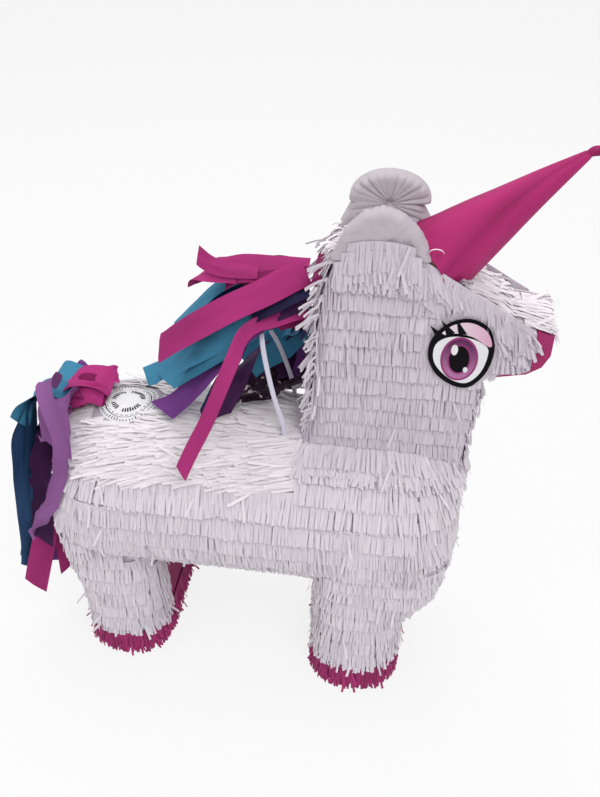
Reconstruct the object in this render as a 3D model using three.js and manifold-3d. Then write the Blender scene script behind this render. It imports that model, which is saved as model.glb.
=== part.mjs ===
// A fringed unicorn pinata: a hollow card body on two leg blocks, a flat card head with a horn, and
// skins of fringed tissue. A flap in the back opens to the sweets inside. Millimetres, +Z up, head
// towards +X, with the origin on the ground under the middle of the whole.
import * as THREE from "three";
import { mergeVertices } from "three/addons/utils/BufferGeometryUtils.js";
import Module from "manifold-3d";

const wasm = await Module();
wasm.setup();

// Card and tissue
const cardWall = 3;
const seatGap = 0.3;
const fringeDepth = 6;
const rowTopDepth = 3.6;
const rowPitch = 18.5;
const tissueWall = 1.7;
const cutOverrun = 60;

// Barrel of the body: sizes of the card, under its fringe
const barrelRadius = 82;
const barrelAxisHeight = 195;
const rumpReach = 190;
const chestReach = 188;
const endRounding = 58;
const endFlatShare = 0.22;
const rumpTuck = 42;
const underTuck = 46;
const rumpCapLength = 62;
const chestCapLength = 60;
const flankTopAngle = 40;
const flankBottomAngle = -62;
const shoulderTopAngle = 66;
const bodyEndAngle = 84;

// Leg blocks: the front one is the wider
const frontLegHalfWidth = 84;
const rearLegHalfWidth = 73;
const legCorner = 30;
const legTopDrop = 18;
const soleThickness = 4;
const hoofHeight = 30;
const hoofFlare = 2;
const frontLegSpan = 122;
const frontFootLength = 78;
const rearLegSpan = 93;
const rearFootLength = 75;
const legFlareHeightShares = [0, 0.3, 0.45, 0.6, 0.75, 1];
const frontLegFlareShares = [0, 0, 0, 0.22, 0.74, 0.95];
const rearLegFlareShares = [0, 0.05, 0.2, 0.5, 0.8, 1];
const liningHalfWidth = 42;

// Head and neck: two card panels with edge boards between them
const neckSpan = 134;
const headReach = 189;
const headRise = 218;
const headHalfWidth = 27;
const neckRootDrop = 37;

// The panel's outline, as shares of the head's reach forward and rise above the crown of the barrel
const napeShares = [[0, 0.106], [0.021, 0.307], [0.037, 0.541], [0.063, 0.706], [0.106, 0.83]];
const earShares = [[0.159, 0.931], [0.217, 0.982], [0.275, 1], [0.339, 0.982], [0.402, 0.931]];
const bridgeShares = [[0.444, 0.867], [0.566, 0.739], [0.772, 0.647], [0.831, 0.606], [1, 0.573]];
const muzzleShares = [[1, 0.573], [1, 0.5], [0.974, 0.45], [0.921, 0.417]];
const jawShares = [[0.921, 0.417], [0.735, 0.381]];
const throatShares = [[0.735, 0.381], [0.735, 0.284], [0.714, 0.124], [0.702, 0]];
const muzzleCoverShare = 0.94;
const fringeTopShare = 0.83;
const throatRootShare = 0.68;
const earPuff = 12;

// Horn
const hornBaseRadius = 29;
const hornLength = 118;
const hornTipRadius = 3;
const hornTilt = 42;
const hornSink = 10;
const hornConeShare = 0.93;
const hornConeTip = 6;
const hornNeckRadius = 2.1;
const hornNubRadius = 4;
const hornNubLength = 8;
const hornWall = 2;
const hornHem = 9;
const hornBaseShare = [0.545, 0.835];

// Eyes
const eyeShare = [0.635, 0.495];
const eyeLength = 53;
const eyeHeight = 68;
const decalThickness = 0.8;

// Filling flap and its sticker
const flapFromRump = 69;
const flapRadius = 21;
const flapHingeShare = 0.86;
const flapClearance = 1.2;
const stickerRadius = 28;
const stickerDepth = 3;

// Hanging loop
const loopFromNeck = 24;
const loopNearY = -26;
const loopFarY = 38;
const loopLean = 22;
const loopRise = 94;
const loopRiseShares = [0.35, 0.7, 0.93];
const loopBowShares = [0.98, 0.72, 0.34];
const loopWidth = 4.6;
const loopStrapThickness = 1.8;
const loopHoleRadius = 3.5;
const loopKnotRadius = 4.2;
const loopClearance = 12;
const patchHalfLength = 17;
const patchMargin = 13;

// Streamers
const streamerWidth = 25;
const streamerThickness = 0.8;
const narrowStreamerWidth = 16;
const streamerSteps = 12;
const sameLength = 0.001;
const napeStandoff = 12;
const slotHalfHeight = 4;
const slotSideRoom = 2;
const maneReach = 130;
const maneSpread = 80;
const maneRise = 170;
const maneTieStandoff = 9;
const maneTieDrop = 25;
const maneTieRadius = 4.5;
const maneTieLength = 42;
const tailReach = 89;
const tailSpread = 70;
const tailTieFromRump = 27;
const tailTieLift = 9;
const tailTieRadius = 7;
const tailTieLength = 34;

// Facets
const cornerSteps = 4;
const ringSteps = 10;
const backSteps = 8;
const roundSteps = 20;
const eyeSteps = 28;
const earSteps = 3;
const curveSteps = 22;
const strapSteps = 8;

const barrelCrownZ = barrelAxisHeight + barrelRadius;
const legTopZ = barrelAxisHeight - legTopDrop;
const rumpSeamX = rumpCapLength - rumpReach;
const chestSeamX = chestReach - chestCapLength;
const frontLegRearX = chestReach - frontLegSpan;
const rearLegFrontX = rearLegSpan - rumpReach;
const neckRearX = chestReach - neckSpan;
const flapX = flapFromRump - rumpReach;
const loopX = neckRearX - loopFromNeck;
const radians = THREE.MathUtils.degToRad;

const tissueWhite = { color: 0xeae7ee, roughness: 0.82, metalness: 0 };
const cardGrey = { color: 0xb59c78, roughness: 0.9, metalness: 0 };
const magentaTissue = { color: 0xa81f72, roughness: 0.7, metalness: 0 };
const tealCrepe = { color: 0x2f86a4, roughness: 0.75, metalness: 0 };
const purpleCrepe = { color: 0x5f2f80, roughness: 0.75, metalness: 0 };
const magentaCrepe = { color: 0xb02a7c, roughness: 0.75, metalness: 0 };
const purpleFoil = { color: 0x4a2a5c, roughness: 0.25, metalness: 0.9 };
const printedPaper = { color: 0xf2f0f2, roughness: 0.4, metalness: 0 };
const nylonWhite = { color: 0xdcd8ea, roughness: 0.45, metalness: 0 };

const pinata = new THREE.Group();
const fringeTopZ = barrelCrownZ + fringeTopShare * headRise;
const maneTieZ = fringeTopZ - maneTieDrop;
const maneRootX = neckRearX - fringeDepth - cardWall;
const tailTieX = tailTieFromRump - rumpReach;
const tailTieZ = barrelCrownZ + tailTieLift;

// A closed triangle mesh as a solid, turned so that its faces point outwards
function solidFrom(positions, triangles) {
  const build = (faces) => new wasm.Manifold(new wasm.Mesh({
    numProp: 3,
    vertProperties: new Float32Array(positions),
    triVerts: new Uint32Array(faces),
  }));
  const made = build(triangles);
  if (made.volume() > 0) return made;
  const turned = [];
  for (let i = 0; i < triangles.length; i += 3) {
    turned.push(triangles[i], triangles[i + 2], triangles[i + 1]);
  }
  return build(turned);
}

// A three.js geometry as a solid, in place
function solidOf(geometry, matrix = new THREE.Matrix4()) {
  const bare = geometry.clone();
  for (const name of Object.keys(bare.attributes)) {
    if (name !== "position") bare.deleteAttribute(name);
  }
  bare.applyMatrix4(matrix);
  const merged = mergeVertices(bare, 1e-4);
  return solidFrom(Array.from(merged.attributes.position.array), Array.from(merged.index.array));
}

// A solid lofted through rings of equal count, with flat ends fanned from each ring's first point.
// Each quad is split on one diagonal, and those of the turned side on the other.
function loft(rings, turnedSide = -1) {
  const count = rings[0].length;
  const positions = rings.flat(2);
  const triangles = [];
  for (let r = 0; r + 1 < rings.length; r++) {
    for (let i = 0; i < count; i++) {
      const a = r * count + i;
      const b = r * count + ((i + 1) % count);
      if (i === turnedSide) {
        triangles.push(a, b, b + count, a, b + count, a + count);
      } else {
        triangles.push(a, b, a + count, b, b + count, a + count);
      }
    }
  }
  const last = (rings.length - 1) * count;
  for (let i = 1; i + 1 < count; i++) {
    triangles.push(0, i + 1, i, last, last + i, last + i + 1);
  }
  return solidFrom(positions, triangles);
}

// An outline of [x, z] points as a plate across Y, from lowY to highY
function plate(outline, lowY, highY) {
  const shape = new THREE.Shape(outline.map(([x, z]) => new THREE.Vector2(x, z)));
  const depth = highY - lowY;
  const geometry = new THREE.ExtrudeGeometry(shape, { depth, bevelEnabled: false });
  const upright = new THREE.Matrix4().makeRotationX(Math.PI / 2);
  return solidOf(geometry, new THREE.Matrix4().makeTranslation(0, highY, 0).multiply(upright));
}

function block(low, high) {
  const size = high.map((value, i) => value - low[i]);
  const middle = high.map((value, i) => (value + low[i]) / 2);
  const geometry = new THREE.BoxGeometry(...size);
  return solidOf(geometry, new THREE.Matrix4().makeTranslation(...middle));
}

// A cylinder along an axis letter, centred on a point
function rod(axis, radius, length, centre, steps = roundSteps) {
  const turn = { x: [0, 0, Math.PI / 2], y: [0, 0, 0], z: [Math.PI / 2, 0, 0] }[axis];
  const place = new THREE.Matrix4().makeTranslation(...centre);
  place.multiply(new THREE.Matrix4().makeRotationFromEuler(new THREE.Euler(...turn)));
  return solidOf(new THREE.CylinderGeometry(radius, radius, length, steps), place);
}

// The largest body of a cut, without the offcuts beside it
function mainBody(solid) {
  return solid.decompose().reduce((best, body) => (body.volume() > best.volume() ? body : best));
}

function addMesh(name, solid, finish, parent = pinata) {
  const made = solid.getMesh();
  const geometry = new THREE.BufferGeometry();
  geometry.setAttribute("position", new THREE.BufferAttribute(made.vertProperties, 3));
  geometry.setIndex(new THREE.BufferAttribute(made.triVerts, 1));
  const creased = geometry.toNonIndexed();
  creased.computeVertexNormals();
  const mesh = new THREE.Mesh(creased, new THREE.MeshStandardMaterial(finish));
  mesh.name = name;
  parent.add(mesh);
  return mesh;
}

// A rounded rectangle in plan at one height: x from rear to front, elliptical corners
function planRing(rearX, frontX, halfWidth, cornerX, cornerY, height) {
  const quadrants = [[1, 1], [-1, 1], [-1, -1], [1, -1]];
  const ring = [];
  quadrants.forEach(([sideX, sideY], quadrant) => {
    const centreX = sideX > 0 ? frontX - cornerX : rearX + cornerX;
    const centreY = sideY * (halfWidth - cornerY);
    for (let k = 0; k <= cornerSteps; k++) {
      const angle = (quadrant + k / cornerSteps) * Math.PI / 2;
      ring.push([centreX + cornerX * Math.cos(angle), centreY + cornerY * Math.sin(angle), height]);
    }
  });
  return ring;
}

// One level of the body, at an angle above the barrel's axis and a distance off the card
function bodyRing(angle, offset) {
  const phi = radians(angle);
  const radius = barrelRadius + offset;
  const halfWidth = radius * Math.cos(phi);
  const over = Math.max(0, phi);
  const under = Math.max(0, -phi);
  const rear = rumpReach - rumpTuck * (1 - Math.cos(over)) - underTuck * (1 - Math.cos(under));
  const front = chestReach - underTuck * (1 - Math.cos(under));
  const cornerY = halfWidth * (1 - endFlatShare);
  const height = barrelAxisHeight + radius * Math.sin(phi);
  return planRing(-rear - offset, front + offset, halfWidth, endRounding, cornerY, height);
}

function bodyForm(offset) {
  const rings = [];
  for (let i = 0; i <= ringSteps; i++) {
    rings.push(bodyRing(bodyEndAngle * (2 * i / ringSteps - 1), offset));
  }
  return loft(rings);
}

// Rows of fringe round the body, each row thin at its glued top and proud at its free bottom
function toothedBodyForm(bottomAngle, topAngle) {
  const arc = radians(topAngle - bottomAngle) * barrelRadius;
  const rows = Math.max(1, Math.round(arc / rowPitch));
  const rings = [];
  for (let row = 0; row < rows; row++) {
    const low = bottomAngle + (topAngle - bottomAngle) * row / rows;
    const high = bottomAngle + (topAngle - bottomAngle) * (row + 1) / rows;
    rings.push(bodyRing(low, fringeDepth), bodyRing(high, rowTopDepth));
  }
  return loft(rings);
}

// A share read off a table at a position along it
function shareAt(positions, values, position) {
  const next = Math.max(1, positions.findIndex((p) => p >= position - 1e-9));
  const span = positions[next] - positions[next - 1];
  const part = THREE.MathUtils.clamp((position - positions[next - 1]) / span, 0, 1);
  return values[next - 1] + (values[next] - values[next - 1]) * part;
}

const frontLeg = {
  halfWidth: frontLegHalfWidth,
  rearX: () => frontLegRearX,
  frontX: (level) => {
    const footX = frontLegRearX + frontFootLength;
    return footX + (chestReach - footX) * shareAt(legFlareHeightShares, frontLegFlareShares, level);
  },
};
const rearLeg = {
  halfWidth: rearLegHalfWidth,
  rearX: (level) => {
    const footX = rearLegFrontX - rearFootLength;
    return footX + (-rumpReach - footX) * shareAt(legFlareHeightShares, rearLegFlareShares, level);
  },
  frontX: () => rearLegFrontX,
};

function legRing(leg, height, offset) {
  const level = THREE.MathUtils.clamp(height / legTopZ, 0, 1);
  const corner = legCorner + offset;
  const halfWidth = leg.halfWidth + offset;
  return planRing(leg.rearX(level) - offset, leg.frontX(level) + offset, halfWidth, corner, corner, height);
}

function legForm(leg, offset, bottomZ, topZ = legTopZ) {
  const inner = legFlareHeightShares.map((share) => share * legTopZ);
  const heights = [bottomZ, ...inner.filter((z) => z > bottomZ + cardWall && z < topZ - cardWall), topZ];
  return loft(heights.map((height) => legRing(leg, height, offset)));
}

function toothedLegForm(leg, bottomZ, topZ, flare = 0) {
  const rows = Math.max(1, Math.round((topZ - bottomZ) / rowPitch));
  const rings = [];
  for (let row = 0; row < rows; row++) {
    const low = bottomZ + (topZ - bottomZ) * row / rows;
    const high = bottomZ + (topZ - bottomZ) * (row + 1) / rows;
    rings.push(legRing(leg, low, fringeDepth + flare), legRing(leg, high, rowTopDepth));
  }
  return loft(rings);
}

// Points of the head, from their shares
function headPoint([alongShare, upShare]) {
  return [neckRearX + alongShare * headReach, barrelCrownZ + upShare * headRise];
}

const rootRearPoint = [neckRearX, barrelCrownZ - neckRootDrop];
const rootFrontPoint = [neckRearX + throatRootShare * headReach, barrelCrownZ - neckRootDrop];
const napeLine = [rootRearPoint, ...napeShares.map(headPoint)];
const earLine = earShares.map(headPoint);
const bridgeLine = bridgeShares.map(headPoint);
const muzzleLine = muzzleShares.map(headPoint);
const jawLine = jawShares.map(headPoint);
const throatLine = [...throatShares.map(headPoint), rootFrontPoint];
const pollLine = [napeLine.at(-1), bridgeLine[0]];
const faceLine = [...bridgeLine, ...muzzleLine.slice(1), ...jawLine.slice(1), ...throatLine.slice(1)];
const panelOutline = [...napeLine, ...earLine, ...faceLine];
const earlessOutline = [...napeLine, ...faceLine];

const napeXAt = (z) => shareAt(napeLine.map((point) => point[1]), napeLine.map((point) => point[0]), z);
const maneTieX = napeXAt(maneTieZ) - maneTieStandoff;

// Points a distance to the left of a line of [x, z] points, with mitred corners
function besideLine(line, distance) {
  const normals = line.slice(1).map(([x, z], i) => {
    const along = new THREE.Vector2(x - line[i][0], z - line[i][1]).normalize();
    return new THREE.Vector2(-along.y, along.x);
  });
  return line.map(([x, z], i) => {
    const before = normals[Math.max(0, i - 1)];
    const after = normals[Math.min(normals.length - 1, i)];
    const mitre = before.clone().add(after).divideScalar(1 + before.dot(after));
    return [x + mitre.x * distance, z + mitre.y * distance];
  });
}

// A closed outline grown by a distance, for one that runs clockwise seen with +X to the right
function grownOutline(outline, distance) {
  const wrapped = [outline.at(-1), ...outline, outline[0]];
  return besideLine(wrapped, distance).slice(1, -1);
}

// A strip beside a line, between two distances off it
function strip(line, from, to, lowY, highY) {
  return plate([...besideLine(line, to), ...besideLine(line, from).reverse()], lowY, highY);
}

// Fringe rows along a line, each rising from its glued edge to its free edge
function toothedStrip(line, lowY, highY) {
  const lengths = [0];
  for (let i = 1; i < line.length; i++) {
    const step = Math.hypot(line[i][0] - line[i - 1][0], line[i][1] - line[i - 1][1]);
    lengths.push(lengths[i - 1] + step);
  }
  const total = lengths.at(-1);
  const rows = Math.max(1, Math.round(total / rowPitch));
  const thin = besideLine(line, rowTopDepth);
  const proud = besideLine(line, fringeDepth);
  const at = (position, share) => {
    const next = Math.max(1, lengths.findIndex((length) => length >= position - 1e-6));
    const part = (position - lengths[next - 1]) / (lengths[next] - lengths[next - 1]);
    const mix = (points, axis) => points[next - 1][axis] + (points[next][axis] - points[next - 1][axis]) * part;
    return [0, 1].map((axis) => mix(thin, axis) + (mix(proud, axis) - mix(thin, axis)) * share);
  };
  const outer = [];
  for (let row = 0; row < rows; row++) {
    const start = total * row / rows;
    const end = total * (row + 1) / rows;
    outer.push(at(start, 0));
    lengths.filter((l) => l > start + sameLength && l < end - sameLength).forEach((l) => {
      outer.push(at(l, (l - start) / (end - start)));
    });
    outer.push(at(end, 1));
  }
  return plate([...outer, ...besideLine(line, seatGap).reverse()], lowY, highY);
}

// The far face is split as the near one is, so a twisted ribbon keeps its thickness
const ribbonFarSide = 2;

// A flat ribbon along a curve. The two vectors say which way its width lies at each end
function ribbon(points, acrossStart, acrossEnd, width = streamerWidth) {
  const steps = streamerSteps;
  const curve = new THREE.CatmullRomCurve3(points.map((p) => new THREE.Vector3(...p)), false, "centripetal");
  const start = new THREE.Vector3(...acrossStart).normalize();
  const end = new THREE.Vector3(...acrossEnd).normalize();
  const rings = [];
  for (let i = 0; i <= steps; i++) {
    const centre = curve.getPointAt(i / steps);
    const along = curve.getTangentAt(i / steps);
    const across = start.clone().lerp(end, i / steps);
    across.addScaledVector(along, -across.dot(along)).normalize().multiplyScalar(width / 2);
    const out = along.clone().cross(across).normalize().multiplyScalar(streamerThickness / 2);
    rings.push([[1, 1], [-1, 1], [-1, -1], [1, -1]].map(([sideAcross, sideOut]) => {
      return centre.clone().addScaledVector(across, sideAcross).addScaledVector(out, sideOut).toArray();
    }));
  }
  return loft(rings, ribbonFarSide);
}

const cardSolid = bodyForm(0);
const cardHollow = bodyForm(-cardWall);
const cardSeat = bodyForm(seatGap);
const skinSeat = bodyForm(fringeDepth + seatGap);
const skinEnvelope = bodyForm(fringeDepth);
const tall = barrelCrownZ + headRise + cutOverrun;
const wide = barrelRadius + cutOverrun;
const long = rumpReach + headReach + cutOverrun;

function slabBetween(lowX, highX) {
  return block([lowX, -wide, -cutOverrun], [highX, wide, tall]);
}

// Filling hole: a round opening with one straight side, where the flap folds
const hingeY = flapRadius * flapHingeShare;

function flapCutter(radius, straightY, lowZ, highZ) {
  const round = rod("y", radius, highZ - lowZ, [0, 0, 0]);
  const upright = round.rotate([90, 0, 0]).translate([flapX, 0, (lowZ + highZ) / 2]);
  return upright.intersect(block([flapX - wide, -wide, lowZ], [flapX + wide, straightY, highZ]));
}

const holeCutter = flapCutter(flapRadius + flapClearance, hingeY + seatGap, barrelAxisHeight, tall);
const loopHoles = [loopNearY, loopFarY].map((y) => {
  const middle = [loopX, y, barrelCrownZ];
  return rod("y", loopHoleRadius, cutOverrun * 2, [0, 0, 0]).rotate([90, 0, 0]).translate(middle);
});
const loopHoleCutter = loopHoles[0].add(loopHoles[1]);

function addBodyCard() {
  const shell = cardSolid.subtract(cardHollow);
  const barrel = shell.intersect(slabBetween(rumpSeamX + seatGap, chestSeamX - seatGap));
  addMesh("barrel_shell", barrel.subtract(holeCutter.intersect(slabBetween(rumpSeamX, chestSeamX)))
    .subtract(loopHoleCutter), cardGrey);
  const rump = shell.intersect(slabBetween(-long, rumpSeamX)).subtract(holeCutter);
  addMesh("rump_cap", rump, cardGrey);
  addMesh("chest_cap", shell.intersect(slabBetween(chestSeamX, long)), cardGrey);
}

function addLegs() {
  for (const [name, leg] of [["front", frontLeg], ["rear", rearLeg]]) {
    const sleeveBottom = soleThickness + seatGap;
    const solid = legForm(leg, 0, sleeveBottom);
    const hollow = legForm(leg, -cardWall, sleeveBottom - cardWall, legTopZ + cardWall);
    addMesh(`${name}_leg_sleeve`, mainBody(solid.subtract(hollow).subtract(cardSeat)), cardGrey);
    addMesh(`${name}_hoof_sole`, legForm(leg, 0, 0, soleThickness), magentaTissue);
    const seat = legForm(leg, seatGap, -cutOverrun, legTopZ + cutOverrun);
    const rows = toothedLegForm(leg, hoofHeight + seatGap, legTopZ);
    const fringe = rows.subtract(seat).subtract(cardSeat).subtract(liningEnvelope);
    addMesh(`${name}_leg_fringe`, mainBody(fringe), tissueWhite);
    const hoof = toothedLegForm(leg, seatGap, hoofHeight, hoofFlare).subtract(seat);
    addMesh(`${name}_hoof_fringe`, mainBody(hoof), magentaTissue);
  }
}

// The plain tissue under the arch: down the inside of both legs and along the belly
const archLow = rearLegFrontX + seatGap;
const archHigh = frontLegRearX - seatGap;
const liningTopZ = barrelAxisHeight + barrelRadius * Math.sin(radians(flankBottomAngle));

const bellySkin = bodyForm(tissueWall).subtract(cardSeat)
  .intersect(block([archLow, -liningHalfWidth, 0], [archHigh, liningHalfWidth, liningTopZ]));
const legSkins = [[archLow, archLow + tissueWall], [archHigh - tissueWall, archHigh]].map(([low, high]) => {
  return block([low, -liningHalfWidth, hoofHeight + seatGap], [high, liningHalfWidth, liningTopZ]);
});
const belly = bellySkin.add(legSkins[0].add(legSkins[1]).subtract(cardSeat));
const liningEnvelope = block(
  [archLow - fringeDepth - cardWall, -liningHalfWidth - seatGap, 0],
  [archHigh + fringeDepth + cardWall, liningHalfWidth + seatGap, barrelAxisHeight],
);

const headForm = plate(grownOutline(panelOutline, fringeDepth + seatGap),
  -headHalfWidth - fringeDepth - seatGap, headHalfWidth + fringeDepth + seatGap);

function addBodySkins() {
  addMesh("belly_lining", mainBody(belly), magentaTissue);
  const legs = [frontLeg, rearLeg].map((leg) => legForm(leg, fringeDepth + seatGap, -cutOverrun));
  const liningSpace = block([archLow, -liningHalfWidth - seatGap, 0],
    [archHigh, liningHalfWidth + seatGap, liningTopZ + seatGap]);
  const rows = toothedBodyForm(flankBottomAngle, shoulderTopAngle)
    .subtract(cardSeat).subtract(legs[0]).subtract(legs[1]).subtract(headForm).subtract(liningSpace);
  const backZ = barrelAxisHeight + (barrelRadius + fringeDepth) * Math.sin(radians(flankTopAngle));
  const backFrontX = neckRearX - fringeDepth - seatGap;
  const backRoom = block([-long, -wide, backZ - seatGap], [backFrontX + seatGap, wide, tall]);
  const flanks = rows.subtract(backRoom);
  const middle = flanks.intersect(slabBetween(rumpSeamX + seatGap, chestSeamX - seatGap));
  const nearSide = block([-long, -wide, -cutOverrun], [long, 0, tall]);
  addMesh("flank_fringe_right", mainBody(middle.intersect(nearSide)), tissueWhite);
  addMesh("flank_fringe_left", mainBody(middle.subtract(nearSide)), tissueWhite);
  addMesh("rump_fringe", mainBody(flanks.intersect(slabBetween(-long, rumpSeamX))), tissueWhite);
  addMesh("chest_fringe", mainBody(flanks.intersect(slabBetween(chestSeamX, long))), tissueWhite);
  addBackFringe(backZ, backFrontX);
}

// The back's rows lie across it and point to the tail
function addBackFringe(lowZ, frontX) {
  const rearX = -rumpReach - fringeDepth;
  const rows = Math.max(1, Math.round((frontX - rearX) / rowPitch));
  const arcRing = (x, offset) => {
    const ring = [];
    const halfAngle = Math.PI / 2 - radians(flankTopAngle) / 2;
    for (let i = 0; i <= backSteps; i++) {
      const angle = halfAngle * (1 - 2 * i / backSteps);
      const radius = barrelRadius + offset;
      ring.push([x, radius * Math.sin(angle), barrelAxisHeight + radius * Math.cos(angle)]);
    }
    return ring;
  };
  const rings = [];
  for (let row = rows - 1; row >= 0; row--) {
    const start = rearX + (frontX - rearX) * (row + 1) / rows;
    const end = rearX + (frontX - rearX) * row / rows;
    rings.push(arcRing(start, rowTopDepth), arcRing(end, fringeDepth));
  }
  const stickerRoom = flapCutter(stickerRadius + seatGap, wide, barrelAxisHeight, tall);
  const tieRoom = rod("y", tailTieRadius + seatGap, tailTieLength + 2 * seatGap, [tailTieX, 0, tailTieZ]);
  const back = loft(rings).intersect(skinEnvelope).intersect(block([-long, -wide, lowZ], [long, wide, tall]))
    .subtract(cardSeat).subtract(stickerRoom).subtract(loopHoleCutter).subtract(tieRoom);
  addMesh("back_fringe", mainBody(back), tissueWhite);
}

function addHeadCard() {
  const boardY = headHalfWidth - cardWall - seatGap;
  for (const [side, low] of [["right", -headHalfWidth], ["left", headHalfWidth - cardWall]]) {
    const panel = plate(panelOutline, low, low + cardWall).subtract(cardSeat);
    addMesh(`head_panel_${side}`, mainBody(panel), cardGrey);
  }
  const boards = {
    nape_board: [...napeLine.slice(0, -1), besideLine(pollLine, -seatGap)[0]],
    poll_board: pollLine,
    bridge_board: bridgeLine,
    muzzle_board: muzzleLine,
    jaw_board: jawLine,
    throat_board: throatLine,
  };
  let taken = cardSeat;
  for (const [name, line] of Object.entries(boards)) {
    const board = strip(line, 0, -cardWall, -boardY, boardY);
    addMesh(name, mainBody(board.subtract(taken)), cardGrey);
    taken = taken.add(strip(line, seatGap, -cardWall - seatGap, -wide, wide));
  }
}

const [hornBaseX, hornBaseZ] = headPoint(hornBaseShare);
const hornTurn = radians(hornTilt);
const hornPlace = new THREE.Matrix4().makeTranslation(hornBaseX, 0, hornBaseZ)
  .multiply(new THREE.Matrix4().makeRotationY(Math.PI / 2 - hornTurn));

// A solid of revolution about the horn's own axis, from [radius, distance along] points
function hornTurned(profile) {
  const points = profile.map(([radius, along]) => new THREE.Vector2(radius, along));
  const upright = new THREE.Matrix4().makeRotationX(Math.PI / 2);
  return solidOf(new THREE.LatheGeometry(points, roundSteps), hornPlace.clone().multiply(upright));
}

const hornSlope = (hornBaseRadius - hornTipRadius) / hornLength;
const hornRadiusAt = (along) => hornBaseRadius - hornSlope * along;

function hornForm(inset, low, high) {
  return hornTurned([[0, low], [hornRadiusAt(low) - inset, low], [hornRadiusAt(high) - inset, high], [0, high]]);
}

function addHorn() {
  const coneInset = tissueWall + seatGap;
  const coneEnd = hornLength * hornConeShare;
  const seat = plate(grownOutline(earlessOutline, seatGap), -wide, wide);
  const ears = plate(grownOutline(panelOutline, fringeDepth + seatGap), -wide, wide)
    .subtract(block([-long, -earInnerY, 0], [long, earInnerY, tall]))
    .intersect(block([-long, -wide, 0], [bridgeLine[0][0] + fringeDepth, wide, tall]));
  const cone = hornForm(coneInset, -hornSink, coneEnd)
    .subtract(hornForm(coneInset + hornWall, -hornSink - cardWall, coneEnd - hornConeTip));
  addMesh("horn_cone", mainBody(cone.subtract(seat).subtract(ears)), cardGrey);
  const nubStart = hornLength - hornTipRadius;
  const wrap = hornTurned([
    [0, -hornSink],
    [hornRadiusAt(-hornSink), -hornSink],
    [hornRadiusAt(nubStart), nubStart],
    [hornNeckRadius, hornLength],
    [hornNubRadius, hornLength + hornNubLength / 2],
    [hornNeckRadius, hornLength + hornNubLength],
    [0, hornLength + hornNubLength],
  ]).subtract(hornForm(tissueWall, -hornSink - cardWall, coneEnd + seatGap));
  const hem = plate(grownOutline(earlessOutline, hornHem), -wide, wide);
  addMesh("horn_wrap", mainBody(wrap.subtract(hem).subtract(ears)), magentaTissue);
}

const earInnerY = headHalfWidth - cardWall - earPuff;
const hornRoom = hornForm(-seatGap, -hornSink - seatGap, hornLength);
const coneRoom = hornForm(tissueWall, -hornSink - seatGap, hornLength);
const headInside = plate(grownOutline(earlessOutline, seatGap), cardWall - headHalfWidth, headHalfWidth - cardWall);

function addEars() {
  const earFoot = [[napeLine.at(-1)[0], napeLine.at(-1)[1]], ...earLine, bridgeLine[0]];
  const grown = grownOutline(earFoot, fringeDepth);
  const earShape = new THREE.Shape(grown.map(([x, z]) => new THREE.Vector2(x, z)));
  const depth = earPuff - fringeDepth;
  const bevel = { depth, bevelThickness: fringeDepth, bevelSize: fringeDepth, bevelOffset: -fringeDepth };
  const geometry = new THREE.ExtrudeGeometry(earShape, { ...bevel, bevelSegments: earSteps, steps: 1 });
  const puffed = solidOf(geometry, new THREE.Matrix4().makeRotationX(Math.PI / 2));
  const above = block([-long, -wide, fringeTopZ + seatGap], [long, wide, tall]);
  for (const [side, sign] of [["right", -1], ["left", 1]]) {
    const outerY = headHalfWidth + fringeDepth;
    const shift = sign > 0 ? outerY - fringeDepth : -outerY + depth + fringeDepth;
    const low = sign > 0 ? headHalfWidth - cardWall - seatGap : -headHalfWidth - seatGap;
    const slot = plate(grownOutline(panelOutline, seatGap), low, low + cardWall + 2 * seatGap);
    const wrap = puffed.translate([0, shift, 0]).intersect(above)
      .subtract(slot).subtract(hornRoom).subtract(headInside);
    addMesh(`ear_wrap_${side}`, mainBody(wrap), tissueWhite);
  }
}

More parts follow.
